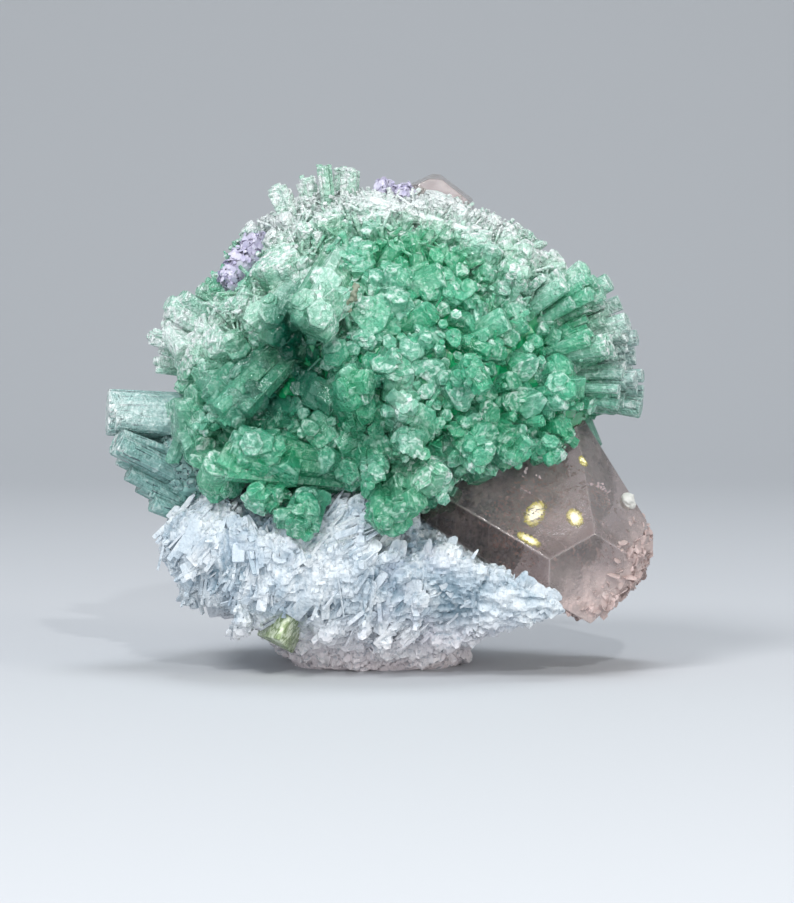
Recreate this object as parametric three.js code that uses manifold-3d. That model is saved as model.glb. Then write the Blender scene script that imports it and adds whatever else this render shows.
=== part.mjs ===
// A mineral specimen: a domed spray of mint-green tourmaline prisms and a stout pale pink morganite crystal,
// both grown on blue-white bladed feldspar, with a few grains of other minerals.
// Millimetres, +Z up, -Y towards the viewer. The origin is the middle of the rock's flat foot.
import * as THREE from "three";
import { ConvexGeometry } from "three/addons/geometries/ConvexGeometry.js";
import { mergeVertices } from "three/addons/utils/BufferGeometryUtils.js";
import Module from "manifold-3d";

const wasm = await Module();
wasm.setup();

// Driving dimensions.
const GAP = 0.3; // left between neighbouring minerals
const SPRAY_CENTRE = [-1, 2, 52];
const SPRAY_REACH = { left: 40, right: 51, front: 37, back: 20, down: 22, up: 45 };
const SPRAY_ROUNDNESS = 2.1; // 2 is an ellipsoid, and more is boxier
const HEART_SHARE = 0.91; // of the reach: the grown-together roots under the tips
const HOLLOW = { towards: [-17, -33, 7], depth: 0.2, spread: 0.42 }; // the deep green dip, left of the middle
const PRISM_COUNT = 152; // spaced evenly over the whole ball, of which the open side is kept
const PRISM_RADIUS = [3.8, 5.8];
const PRISM_SINK = [0.93, 1.03]; // a tip's distance from the centre, as a share of the reach
const PRISM_LEAN = 0.26; // sideways wander of a root, as a share of the reach
const ROOT_SHARE = 0.62; // where a prism's root lies between the centre and its tip
const PRISM_TAPER = 0.9; // radius at the root, as a share of that at the tip
const SPRAY_EDGE = { x: 34, z: 42.5, rise: 1.1 }; // lower edge over the morganite: level, then rising
const LEFT_HEART = { centre: [-38, -6, 41], reach: [7.5, 9, 10.5] }; // roots of the left fan

// Rock outlines from the foot up: height, then the left, right, front and back edges.
const BASE_ROCK = [
  [0, -17, 17, -14.5, 14.5],
  [3, -19, 18.5, -18, 19],
  [8, -24, 22, -25, 23],
  [12, -33, 27, -31, 25],
  [16, -39, 26, -34, 26],
  [21, -42, 22, -35, 27],
  [27, -42.5, 14, -34, 27],
  [32, -40, 9, -28, 27],
  [36, -35, 7, -19, 26],
];
const BACK_ROCK = [
  [14, -30, 30, -2, 25],
  [24, -36, 37, -1, 28],
  [38, -37, 38, 1, 29],
  [52, -38, 37, 3, 28],
  [66, -36, 33, 4, 26],
  [78, -29, 26, 5, 23],
  [88, -19, 16, 7, 19],
];
const BASE_SURFACE = { ringPoints: 18, roughness: 1.1, seed: 3 };
const BACK_SURFACE = { ringPoints: 16, roughness: 3.4, seed: 11 };
const ROCK_SQUARENESS = 2.7;

// The tongue of rock that runs to the right, in front of the morganite.
const LEDGE_CORNERS = [
  [37.5, -31.5, 13.8],
  [34, -33.2, 15.8],
  [25, -34, 20.2],
  [15, -34, 25.2],
  [11, -33, 28],
  [31, -31, 12.6],
  [25, -28.5, 9.6],
  [20, -25, 6.8],
  [10, -24, 6],
  [2, -34, 20],
  [12, -8, 27],
  [30, -14, 12.8],
  [36, -27, 13.2],
  [20, -4, 8],
];

// Flat faces of the morganite: outward direction, then a point that the face passes through.
const MORGANITE_NOSE = [34.2, -30, 23.6];
const MORGANITE_FACES = [
  [[-0.018, -0.744, 0.667], MORGANITE_NOSE],
  [[-0.51, -0.855, -0.094], MORGANITE_NOSE],
  [[0.455, -0.882, -0.12], MORGANITE_NOSE],
  [[0.66, -0.517, 0.549], [43.2, -26, 28.3]],
  [[0.35, -0.68, 0.65], [43.4, -15.2, 39.4]],
  [[0.86, 0.1, 0.5], [49, 0, 37.2]],
  [[0.97, -0.2, -0.1], [55.8, 0, 22.5]],
  [[0.72, -0.12, -0.69], [52.8, 0, 16.8]],
  [[0.42, 0, -0.9], [48.4, -10, 13.2]],
  [[-0.5, 0, -0.83], [37.4, -22, 13.4]],
  [[0.1, 0.3, 0.95], [40.4, 0, 49.4]],
  [[0.7, 0.7, 0.1], [49, 9, 25]],
  [[0, 1, 0], [30, 14, 30]],
  [[-1, 0, 0], [7, 0, 30]],
];
const SMALL_MORGANITE_FACES = [
  [[-0.42, -0.1, 0.9], [8, 6, 97.6]],
  [[0.1, -0.15, 0.98], [13, 6, 99]],
  [[0.62, -0.1, 0.78], [16.4, 6, 96.6]],
  [[0.98, -0.1, 0.2], [19.6, 6, 93]],
  [[0.1, -0.98, 0.15], [12, 0, 94]],
  [[-0.2, 0.97, 0.3], [12, 11, 94]],
  [[-0.9, -0.3, 0.2], [7, 2, 92]],
  [[0, 0, -1], [12, 6, 84]],
];
const YELLOW_GREEN_FACES = [
  [[-0.86, -0.3, 0.4], [-19.7, -28, 10]],
  [[0.86, -0.3, -0.4], [-16.1, -28, 10.2]],
  [[0, -0.96, 0.28], [-17.5, -31.5, 10]],
  [[0.4, -0.25, 0.88], [-16.6, -28, 13.2]],
  [[-0.45, -0.2, -0.87], [-18.9, -28, 7.2]],
  [[0, 1, 0], [-17.5, -20, 10]],
];

// Prisms that are placed one by one: tip, root and radius.
const FRONT_PRISMS = [
  [[4, -40, 32], [2, -14, 44], 4.8],
  [[11.6, -38.5, 37.6], [5, -12, 48], 3.7],
  [[7.6, -41, 46], [3, -12, 50], 3.2],
  [[0, -40.5, 40.4], [-1, -12, 48], 2.8],
  [[-4.6, -38, 59], [-2, -22, 44], 3.8],
  [[5.6, -40, 54.6], [4, -18, 45], 3.3],
  [[-28, -32, 45.6], [-6, -24, 41], 4.9],
  [[-33, -29, 38.6], [-20, -8, 44], 4.6],
  [[-15, -37.5, 30], [-10, -14, 42], 3.6],
  [[-23, -35, 34.5], [-12, -12, 44], 3.1],
  [[-34, -27.5, 50], [-24, -8, 50], 2.1],
  [[-38.5, -18, 48], [-12, -2, 50], 7.6],
  [[-38, -13, 63.5], [-14, 0, 56], 8.4],
  [[-12.5, -36, 68.5], [-5, -14, 86], 4.9],
  [[-21.5, -31.5, 67.5], [-12, -10, 83], 4.2],
  [[-30.5, -25, 50.5], [-13, -17, 68], 5.8],
  [[27.8, -25, 80.5], [21, -8, 64], 2.7],
  [[19.6, -38.5, 60.4], [12, -14, 55], 2.9],
  [[40, -23, 55.6], [18, -8, 53], 3.7],
  [[21, -34.5, 43.6], [10, -10, 52], 3.4],
  [[29, -30, 44.2], [16, -8, 52], 3.1],
  [[36, -24.5, 43.2], [26, -8, 52], 2.6],
  [[38.8, -20, 46.6], [30, -8, 52], 1.5],
];
const RIM_PRISMS = [
  [[53.4, -8, 52.2], [28, -2, 56.8], 2.2],
  [[54.2, -4, 55.2], [30, 0, 56.4], 1.6],
  [[53.6, -10, 58.8], [30, -2, 58.4], 1.5],
  [[52.6, -3, 62.6], [30, 0, 60], 1.9],
  [[52.6, -8, 66.4], [30, -2, 62], 1.7],
  [[50.4, -12, 69.6], [28, -4, 62], 2.1],
  [[49.6, -2, 73.4], [28, 0, 64], 1.8],
  [[47, -8, 77.6], [26, -2, 66], 2.2],
  [[42.4, -12, 80.4], [24, -4, 66], 2.4],
  [[37, -4, 83], [22, 0, 68], 2.1],
  [[31.6, -8, 85], [18, -2, 70], 2.0],
  [[44.6, 1, 43.8], [40, 0, 55], 1.9],
  [[23.6, -14, 87], [-1, -13, 95.6], 2.7],
  [[-10.6, -6, 100.8], [-8, -4, 80], 1.7],
  [[-5.4, -2, 100.2], [-6, 0, 78], 2.7],
  [[-13.8, 1, 98.6], [-10, 0, 80], 2.0],
  [[-20, -8, 96.4], [-12, -4, 78], 2.4],
  [[-26, -4, 88.6], [-14, 0, 74], 2.6],
  [[-45, -8, 66.2], [-26, 0, 60], 2.1],
  [[-44, -2, 61], [-26, 2, 58], 2.3],
  [[-41, -9, 72.6], [-24, -3, 62], 4.3],
  [[-35.4, -6, 76.4], [-20, 0, 66], 2.6],
];
const LEFT_PRISMS = [
  [[-53.8, -8, 51.4], [-28, -4, 50], 4.7],
  [[-51.6, -13, 45.6], [-32, -4, 35], 2.9],
  [[-51.4, -7, 42.4], [-32, -2, 32], 1.9],
  [[-49.4, -11, 39.4], [-32, -4, 30], 1.8],
  [[-47.4, -7, 36.8], [-32, -2, 28], 1.9],
  [[-44.6, -11, 33.2], [-30, -4, 27], 1.8],
  [[-50, -1, 47.6], [-28, 2, 40], 3.0],
];

// Feldspar blades on the rock: where they stand, how many, and their size. They lean to the right.
const BLADE_SLOPE = 1.05; // radians above level
const FRONT_BLADES = { count: 42, left: -38, right: [27, 8], low: 9.5, high: 33, size: [0.95, 4.6, 10.5] };
const BACK_BLADES = { count: 18, left: -30, right: [30, 12], low: 18, high: 84, size: [2.6, 8, 15] };

// Six-sided books of purple mica: centre and radius.
const MICA_THICKNESS = 1.1; // of a book, as a share of its radius
const LEFT_MICA_BOOKS = [
  [[-24.2, -4, 85.4], 3.2],
  [[-26, -7, 82], 3.6],
  [[-28.2, -8, 78.4], 3.6],
  [[-25.6, 0, 79.4], 4.8],
];
const TOP_MICA_BOOKS = [
  [[1.8, -2, 96.2], 2.6],
  [[6, -1.5, 95.2], 2.6],
  [[3.6, 1, 94], 3.2],
];
const WHITE_GRAIN = { centre: [50.2, -11, 33.4], radius: 2.1 };

const GOLDEN_ANGLE = Math.PI * (3 - Math.sqrt(5));
const GOLDEN_RATIO = (1 + Math.sqrt(5)) / 2;
const vector = (point) => new THREE.Vector3(...point);
const mix = ([low, high], share) => low + (high - low) * share;

/** A repeatable number from 0 to 1 for each pair of whole numbers. */
function scatter(index, channel) {
  const wave = Math.sin(index * 12.9898 + channel * 78.233) * 43758.5453;
  return wave - Math.floor(wave);
}

/** A closed three.js geometry as a solid. */
function solidOf(geometry) {
  const bare = geometry.index ? geometry.toNonIndexed() : geometry.clone();
  bare.deleteAttribute("normal");
  bare.deleteAttribute("uv");
  const merged = mergeVertices(bare, 1e-3);
  return new wasm.Manifold(
    new wasm.Mesh({
      numProp: 3,
      vertProperties: merged.attributes.position.array,
      triVerts: new Uint32Array(merged.index.array),
    }),
  );
}

/** A solid as three.js geometry. */
function geometryOf(solid) {
  const mesh = solid.getMesh();
  const geometry = new THREE.BufferGeometry();
  geometry.setAttribute("position", new THREE.BufferAttribute(mesh.vertProperties, 3));
  geometry.setIndex(new THREE.BufferAttribute(mesh.triVerts, 1));
  geometry.computeVertexNormals();
  return geometry;
}

const joined = (solids) => wasm.Manifold.union(solids);

/** The largest single body of a solid, without the crumbs that a cut leaves. */
function largestBody(solid) {
  return solid.decompose().reduce((best, body) => (body.volume() > best.volume() ? body : best));
}

/** How far the spray reaches from its centre in one direction. */
function sprayReach(direction) {
  const { x, y, z } = direction;
  const share =
    Math.abs(x / (x < 0 ? SPRAY_REACH.left : SPRAY_REACH.right)) ** SPRAY_ROUNDNESS +
    Math.abs(y / (y < 0 ? SPRAY_REACH.front : SPRAY_REACH.back)) ** SPRAY_ROUNDNESS +
    Math.abs(z / (z < 0 ? SPRAY_REACH.down : SPRAY_REACH.up)) ** SPRAY_ROUNDNESS;
  const away = direction.angleTo(vector(HOLLOW.towards)) / HOLLOW.spread;
  return share ** (-1 / SPRAY_ROUNDNESS) * (1 - HOLLOW.depth * Math.exp(-away * away));
}

/** One six-sided prism from root to tip, with a flat end. */
function prism([tip, root, radius], turn, grow = 0) {
  const axis = vector(tip).sub(vector(root));
  const length = axis.length() + grow;
  const across = radius + grow;
  const profile = [
    new THREE.Vector2(0, -grow),
    new THREE.Vector2(across * PRISM_TAPER, -grow),
    new THREE.Vector2(across, length),
    new THREE.Vector2(0, length),
  ];
  const geometry = new THREE.LatheGeometry(profile, 6);
  geometry.rotateY(turn);
  geometry.applyQuaternion(
    new THREE.Quaternion().setFromUnitVectors(new THREE.Vector3(0, 1, 0), axis.normalize()),
  );
  geometry.translate(...root);
  return solidOf(geometry);
}

/** Tip, root and radius of the prisms that fill the open side of the dome. */
function domePrisms() {
  const centre = vector(SPRAY_CENTRE);
  const prisms = [];
  for (let i = 0; i < PRISM_COUNT; i++) {
    const height = 1 - (2 * i + 1) / PRISM_COUNT;
    const ring = Math.sqrt(1 - height * height);
    const angle = i * GOLDEN_ANGLE;
    const direction = new THREE.Vector3(ring * Math.cos(angle), ring * Math.sin(angle), height);
    const reach = sprayReach(direction);
    const tip = centre.clone().addScaledVector(direction, reach * mix(PRISM_SINK, scatter(i, 1)));
    const facesRock = direction.y > 0.3 || (direction.z < -0.3 && direction.y > -0.35);
    const edge = SPRAY_EDGE.z + Math.max(0, tip.x - SPRAY_EDGE.x) * SPRAY_EDGE.rise;
    const overMorganite = tip.x > 13 && tip.z < edge;
    const overRock = tip.z < 33 && tip.y > -34;
    if (facesRock || overMorganite || overRock) continue;
    const root = centre.clone().lerp(tip, ROOT_SHARE);
    root.x += (scatter(i, 2) - 0.5) * PRISM_LEAN * reach;
    root.z += (scatter(i, 3) - 0.5) * PRISM_LEAN * reach;
    prisms.push([tip.toArray(), root.toArray(), mix(PRISM_RADIUS, scatter(i, 4))]);
  }
  return prisms;
}

/** The grown-together roots of the spray: a smooth body under the tips. */
function sprayHeart(grow = 0) {
  const geometry = new THREE.SphereGeometry(1, 14, 9);
  const place = geometry.attributes.position;
  const direction = new THREE.Vector3();
  for (let i = 0; i < place.count; i++) {
    direction.fromBufferAttribute(place, i).normalize();
    direction.multiplyScalar(sprayReach(direction.clone()) * HEART_SHARE + grow);
    place.setXYZ(i, ...direction.add(vector(SPRAY_CENTRE)).toArray());
  }
  return solidOf(geometry);
}

/** All of the spray's prisms and their roots, before the rock is cut away. */
function wholeSpray(grow = 0) {
  const prisms = [...FRONT_PRISMS, ...RIM_PRISMS, ...domePrisms()];
  return joined([sprayHeart(grow), ...prisms.map((p, i) => prism(p, scatter(i, 5) * Math.PI, grow))]);
}

/** The left fan of prisms, standing on roots of its own. */
function wholeLeftSpray(grow = 0) {
  const heart = new THREE.SphereGeometry(1, 8, 6);
  heart.scale(...LEFT_HEART.reach.map((reach) => reach + grow));
  heart.translate(...LEFT_HEART.centre);
  return joined([solidOf(heart), ...LEFT_PRISMS.map((p, i) => prism(p, scatter(i, 6), grow))]);
}

/** A lump of rock through a stack of rounded outlines, the lowest of them its flat foot. */
function rockLump(outlines, { ringPoints, roughness, seed }, grow = 0) {
  const rows = outlines.length + 1;
  const geometry = new THREE.SphereGeometry(1, ringPoints, rows);
  const place = geometry.attributes.position;
  const bulge = (value) => Math.sign(value) * Math.abs(value) ** (2 / ROCK_SQUARENESS);
  for (let i = 0; i < place.count; i++) {
    const column = (i % (ringPoints + 1)) % ringPoints;
    const row = Math.floor(i / (ringPoints + 1)); // 0 is the top pole, and the last row the foot's middle
    const level = Math.min(Math.max(outlines.length - row, 0), outlines.length - 1);
    const [height, left, right, front, back] = outlines[level];
    const atPole = row === 0 || row === rows;
    const angle = (column / ringPoints) * 2 * Math.PI;
    const rough = level === 0 || atPole ? 0 : roughness;
    const out = atPole ? 0 : 1;
    const jut = (scatter(column + seed, level) - 0.5) * 2 * rough + grow;
    const lift = (scatter(column, level + seed) - 0.5) * rough;
    const edge = level === 0 ? -grow : row <= 1 ? grow : 0;
    const x = (left + right) / 2 + out * bulge(Math.cos(angle)) * ((right - left) / 2 + jut);
    const y = (front + back) / 2 + out * bulge(Math.sin(angle)) * ((back - front) / 2 + jut);
    place.setXYZ(i, x, y, height + lift + edge);
  }
  return solidOf(geometry);
}

/** The convex body of a set of corners, each moved out from the middle by grow. */
function cornerBlock(corners, grow = 0) {
  const points = corners.map(vector);
  const middle = points.reduce((sum, p) => sum.add(p), new THREE.Vector3()).divideScalar(points.length);
  const moved = points.map((p) => p.clone().addScaledVector(p.clone().sub(middle).normalize(), grow));
  return solidOf(new ConvexGeometry(moved));
}

/** The convex crystal that lies inside all of its flat faces. */
function facetedCrystal(faces, grow = 0) {
  const planes = faces.map(([direction, through]) => {
    const normal = vector(direction).normalize();
    return { normal, offset: normal.dot(vector(through)) + grow };
  });
  const corners = [];
  for (const [i, a] of planes.entries())
    for (const [j, b] of planes.slice(0, i).entries())
      for (const c of planes.slice(0, j)) {
        const across = a.normal.clone().cross(b.normal);
        const size = across.dot(c.normal);
        if (Math.abs(size) < 1e-6) continue;
        const corner = across
          .multiplyScalar(c.offset)
          .add(b.normal.clone().cross(c.normal).multiplyScalar(a.offset))
          .add(c.normal.clone().cross(a.normal).multiplyScalar(b.offset))
          .divideScalar(size);
        if (planes.every((p) => p.normal.dot(corner) <= p.offset + 1e-6)) corners.push(corner);
      }
  return solidOf(new ConvexGeometry(corners));
}

/** Where a rock's surface lies in depth at one sideways place and height: side is -1 in front, 1 behind. */
function rockDepth(outlines, x, z, side) {
  const above = Math.max(1, outlines.findIndex(([height]) => height > z));
  const [low, high] = [outlines[above - 1], outlines[above]];
  const share = (z - low[0]) / (high[0] - low[0]);
  const [, left, right, front, back] = low.map((value, i) => value + (high[i] - value) * share);
  const sideways = Math.min(Math.abs(x - (left + right) / 2) / ((right - left) / 2), 0.97);
  const bulge = (1 - sideways ** ROCK_SQUARENESS) ** (1 / ROCK_SQUARENESS);
  return (front + back) / 2 + (side * bulge * (back - front)) / 2;
}

/** The thin feldspar blades that stand out of one side of the rock. */
function blades(outlines, field, side) {
  const [thickness, width, length] = field.size;
  const made = [];
  for (let i = 0; i < field.count; i++) {
    const up = (i + 0.5) / field.count;
    const x = mix([field.left, field.right[0]], (i * (GOLDEN_RATIO - 1)) % 1);
    const z = mix([field.low, field.high], up);
    if (x > mix(field.right, up) || (z < 14 && x < -30)) continue;
    const size = mix([0.75, 1.15], scatter(i, 21));
    const blade = new THREE.BoxGeometry(thickness, width * size, length * size);
    blade.rotateZ((scatter(i, 22) - 0.5) * 1.6);
    blade.rotateX(mix([0.1, 0.5], scatter(i, 23)) * -side);
    blade.rotateY(Math.PI / 2 - BLADE_SLOPE + (scatter(i, 24) - 0.5) * 1.1);
    blade.translate(x, rockDepth(outlines, x, z, side) - side * 1.2, z);
    made.push(solidOf(blade));
  }
  return made;
}

/** A cluster of six-sided books of mica, grown together. */
function micaCluster(books) {
  return joined(
    books.map(([centre, radius], i) => {
      const book = new THREE.CylinderGeometry(radius, radius, radius * MICA_THICKNESS, 6);
      book.rotateX(mix([-1, 1], scatter(i, 31)));
      book.rotateZ(mix([-1, 1], scatter(i, 32)));
      book.translate(...centre);
      return solidOf(book);
    }),
  );
}

/** A small rounded grain. */
function roundGrain({ centre, radius }) {
  const grain = new THREE.DodecahedronGeometry(radius);
  grain.scale(1, 0.92, 0.86);
  grain.translate(...centre);
  return solidOf(grain);
}

/** A mesh with its own plain material. */
function piece(name, solid, colour, roughness, opacity = 1) {
  const material = new THREE.MeshStandardMaterial({
    color: colour,
    roughness,
    metalness: 0,
    flatShading: true,
    transparent: opacity < 1,
    opacity,
  });
  const mesh = new THREE.Mesh(geometryOf(largestBody(solid)), material);
  mesh.name = name;
  return mesh;
}

/** The rock without its blades. */
function rock(grow = 0) {
  return joined([
    rockLump(BASE_ROCK, BASE_SURFACE, grow),
    rockLump(BACK_ROCK, BACK_SURFACE, grow),
    cornerBlock(LEDGE_CORNERS, grow * 2),
  ]);
}

const rockSpace = rock(GAP).add(rock());
const spraySpace = wholeSpray(GAP);
const morganiteSpace = facetedCrystal(MORGANITE_FACES, GAP);
const smallMorganiteSpace = facetedCrystal(SMALL_MORGANITE_FACES, GAP);
const yellowGreenSpace = facetedCrystal(YELLOW_GREEN_FACES, GAP);

const bladeSpace = joined([spraySpace, morganiteSpace, yellowGreenSpace, wholeLeftSpray(GAP)]);
const allBlades = [...blades(BASE_ROCK, FRONT_BLADES, -1), ...blades(BACK_ROCK, BACK_BLADES, 1)];
const matrix = rock().add(joined(allBlades).subtract(bladeSpace));
const yellowGreen = facetedCrystal(YELLOW_GREEN_FACES).subtract(rockSpace);
const spray = wholeSpray().subtract(joined([rockSpace, morganiteSpace]));
const leftSpray = wholeLeftSpray().subtract(joined([rockSpace, spraySpace]));
const morganite = facetedCrystal(MORGANITE_FACES).subtract(rockSpace);
const smallMorganite = facetedCrystal(SMALL_MORGANITE_FACES).subtract(joined([rockSpace, spraySpace]));
const micaSpace = joined([rockSpace, spraySpace, smallMorganiteSpace]);
const leftMica = micaCluster(LEFT_MICA_BOOKS).subtract(micaSpace);
const topMica = micaCluster(TOP_MICA_BOOKS).subtract(micaSpace);
const whiteGrain = roundGrain(WHITE_GRAIN).subtract(morganiteSpace);

const specimen = new THREE.Group();
specimen.add(
  piece("feldspar_matrix", matrix, 0xc9d3dc, 0.75),
  piece("tourmaline_spray", spray, 0x4fb58c, 0.2),
  piece("tourmaline_left_spray", leftSpray, 0x7fbdb8, 0.2),
  piece("morganite_crystal", morganite, 0xb59a98, 0.1, 0.6),
  piece("small_morganite_crystal", smallMorganite, 0xb4abb0, 0.15, 0.6),
  piece("lepidolite_left", leftMica, 0x9a8fc0, 0.5),
  piece("lepidolite_top", topMica, 0xa99fd0, 0.5),
  piece("yellow_green_crystal", yellowGreen, 0xb4d69a, 0.25),
  piece("white_feldspar_grain", whiteGrain, 0xd6d8d4, 0.6),
);

export default specimen;
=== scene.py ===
"""The looks of a mineral specimen: green tourmaline and pink morganite, grown on bladed feldspar."""
import logging
import math
from collections.abc import Callable, Iterator
from dataclasses import dataclass, field
from enum import Enum

import bpy
import numpy as np
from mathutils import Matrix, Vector, noise
from mathutils.bvhtree import BVHTree


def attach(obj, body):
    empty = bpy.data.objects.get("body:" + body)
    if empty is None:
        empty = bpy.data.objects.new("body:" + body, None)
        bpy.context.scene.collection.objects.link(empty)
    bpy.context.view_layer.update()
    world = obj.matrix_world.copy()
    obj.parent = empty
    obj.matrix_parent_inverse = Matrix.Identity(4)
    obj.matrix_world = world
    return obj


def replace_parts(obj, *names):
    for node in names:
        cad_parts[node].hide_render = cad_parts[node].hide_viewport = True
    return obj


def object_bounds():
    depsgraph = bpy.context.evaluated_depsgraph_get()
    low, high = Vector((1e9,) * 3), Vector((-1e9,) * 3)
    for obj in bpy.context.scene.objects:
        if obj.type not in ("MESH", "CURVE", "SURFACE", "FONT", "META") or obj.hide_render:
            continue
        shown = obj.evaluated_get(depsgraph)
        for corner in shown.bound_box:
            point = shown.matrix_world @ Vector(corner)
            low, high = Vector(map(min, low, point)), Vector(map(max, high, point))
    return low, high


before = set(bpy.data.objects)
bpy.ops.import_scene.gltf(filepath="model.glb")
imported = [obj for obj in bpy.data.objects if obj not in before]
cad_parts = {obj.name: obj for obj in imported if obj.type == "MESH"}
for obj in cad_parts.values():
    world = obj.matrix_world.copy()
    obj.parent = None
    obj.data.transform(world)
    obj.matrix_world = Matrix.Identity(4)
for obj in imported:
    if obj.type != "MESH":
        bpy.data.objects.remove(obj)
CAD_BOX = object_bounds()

LOG = logging.getLogger("specimen")
MM = 0.001  # the tables below are in millimetres, and Blender's meshes in metres
BODY = "root"
GOLDEN_ANGLE = math.pi * (3 - math.sqrt(5))
GOLDEN_RATIO = (1 + math.sqrt(5)) / 2
TEMPLATE_LENGTH = 4.0  # of a modelled crystal, in its own radii
TEMPLATE_END = 1.0  # the part of it that keeps its shape when the crystal is made longer

Point = tuple[float, float, float]
Prism = tuple[Point, Point, float]
Grain = tuple[float, float, float, float]
Range = tuple[float, float]
Socket = bpy.types.NodeSocket

# Prisms of the spray that are placed one by one: tip, root and radius.
FRONT_PRISMS: list[Prism] = [
    ((4, -40, 32), (2, -14, 44), 4.8),
    ((11.6, -38.5, 37.6), (5, -12, 48), 3.7),
    ((7.6, -41, 46), (3, -12, 50), 3.2),
    ((0, -40.5, 40.4), (-1, -12, 48), 2.8),
    ((-4.6, -38, 59), (-2, -22, 44), 3.8),
    ((5.6, -40, 54.6), (4, -18, 45), 3.3),
    ((-28, -32, 45.6), (-6, -24, 41), 4.9),
    ((-33, -29, 38.6), (-20, -8, 44), 4.6),
    ((-15, -37.5, 30), (-10, -14, 42), 3.6),
    ((-23, -35, 34.5), (-12, -12, 44), 3.1),
    ((-34, -27.5, 50), (-24, -8, 50), 2.1),
    ((-38.5, -18, 48), (-12, -2, 50), 7.6),
    ((-38, -13, 63.5), (-14, 0, 56), 8.4),
    ((-12.5, -36, 68.5), (-5, -14, 86), 4.9),
    ((-21.5, -31.5, 67.5), (-12, -10, 83), 4.2),
    ((-30.5, -25, 50.5), (-13, -17, 68), 5.8),
    ((27.8, -25, 80.5), (21, -8, 64), 2.7),
    ((19.6, -38.5, 60.4), (12, -14, 55), 2.9),
    ((40, -23, 55.6), (18, -8, 53), 3.7),
    ((21, -34.5, 43.6), (10, -10, 52), 3.4),
    ((29, -30, 44.2), (16, -8, 52), 3.1),
    ((36, -24.5, 43.2), (26, -8, 52), 2.6),
    ((38.8, -20, 46.6), (30, -8, 52), 1.5),
]
RIM_PRISMS: list[Prism] = [
    ((53.4, -8, 52.2), (28, -2, 56.8), 2.2),
    ((54.2, -4, 55.2), (30, 0, 56.4), 1.6),
    ((53.6, -10, 58.8), (30, -2, 58.4), 1.5),
    ((52.6, -3, 62.6), (30, 0, 60), 1.9),
    ((52.6, -8, 66.4), (30, -2, 62), 1.7),
    ((50.4, -12, 69.6), (28, -4, 62), 2.1),
    ((49.6, -2, 73.4), (28, 0, 64), 1.8),
    ((47, -8, 77.6), (26, -2, 66), 2.2),
    ((42.4, -12, 80.4), (24, -4, 66), 2.4),
    ((37, -4, 83), (22, 0, 68), 2.1),
    ((31.6, -8, 85), (18, -2, 70), 2.0),
    ((44.6, 1, 43.8), (40, 0, 55), 1.9),
    ((23.6, -14, 87), (-1, -13, 95.6), 2.7),
    ((-10.6, -6, 100.8), (-8, -4, 80), 1.7),
    ((-5.4, -2, 100.2), (-6, 0, 78), 2.7),
    ((-13.8, 1, 98.6), (-10, 0, 80), 2.0),
    ((-20, -8, 96.4), (-12, -4, 78), 2.4),
    ((-26, -4, 88.6), (-14, 0, 74), 2.6),
    ((-45, -8, 66.2), (-26, 0, 60), 2.1),
    ((-44, -2, 61), (-26, 2, 58), 2.3),
    ((-41, -9, 72.6), (-24, -3, 62), 4.3),
    ((-35.4, -6, 76.4), (-20, 0, 66), 2.6),
]
LONG_PRISM: Prism = ((23.2, -13, 85.4), (-1, -12, 93.2), 1.7)  # lies along the top, half sunk in
LEFT_PRISMS: list[Prism] = [
    ((-53.8, -8, 51.4), (-28, -4, 50), 4.7),
    ((-51.6, -13, 45.6), (-32, -4, 35), 2.9),
    ((-51.4, -7, 42.4), (-32, -2, 32), 1.9),
    ((-49.4, -11, 39.4), (-32, -4, 30), 1.8),
    ((-47.4, -7, 36.8), (-32, -2, 28), 1.9),
    ((-44.6, -11, 33.2), (-30, -4, 27), 1.8),
    ((-50, -1, 47.6), (-28, 2, 40), 3.0),
]

# Flat faces of the two pink crystals and the yellow-green one: outward direction, then a point of the face.
MORGANITE_NOSE = (34.2, -30, 23.6)
MORGANITE_FACES = [
    ((-0.018, -0.744, 0.667), MORGANITE_NOSE),
    ((-0.51, -0.855, -0.094), MORGANITE_NOSE),
    ((0.455, -0.882, -0.12), MORGANITE_NOSE),
    ((0.66, -0.517, 0.549), (43.2, -26, 28.3)),
    ((0.35, -0.68, 0.65), (43.4, -15.2, 39.4)),
    ((0.86, 0.1, 0.5), (49, 0, 37.2)),
    ((0.97, -0.2, -0.1), (55.8, 0, 22.5)),
    ((0.72, -0.12, -0.69), (52.8, 0, 16.8)),
    ((0.42, 0, -0.9), (48.4, -10, 13.2)),
    ((-0.5, 0, -0.83), (37.4, -22, 13.4)),
    ((0.1, 0.3, 0.95), (40.4, 0, 49.4)),
    ((0.7, 0.7, 0.1), (49, 9, 25)),
    ((0, 1, 0), (30, 14, 30)),
    ((-1, 0, 0), (7, 0, 30)),
]
SMALL_MORGANITE_FACES = [
    ((-0.42, -0.1, 0.9), (8, 6, 97.6)),
    ((0.1, -0.15, 0.98), (13, 6, 99)),
    ((0.62, -0.1, 0.78), (16.4, 6, 96.6)),
    ((0.98, -0.1, 0.2), (19.6, 6, 93)),
    ((0.1, -0.98, 0.15), (12, 0, 94)),
    ((-0.2, 0.97, 0.3), (12, 11, 94)),
    ((-0.9, -0.3, 0.2), (7, 2, 92)),
    ((0, 0, -1), (12, 6, 84)),
]
YELLOW_GREEN_FACES = [
    ((-0.86, -0.3, 0.4), (-19.7, -28, 10)),
    ((0.86, -0.3, -0.4), (-16.1, -28, 10.2)),
    ((0, -0.96, 0.28), (-17.5, -31.5, 10)),
    ((0.4, -0.25, 0.88), (-16.6, -28, 13.2)),
    ((-0.45, -0.2, -0.87), (-18.9, -28, 7.2)),
    ((0, 1, 0), (-17.5, -20, 10)),
]


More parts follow.
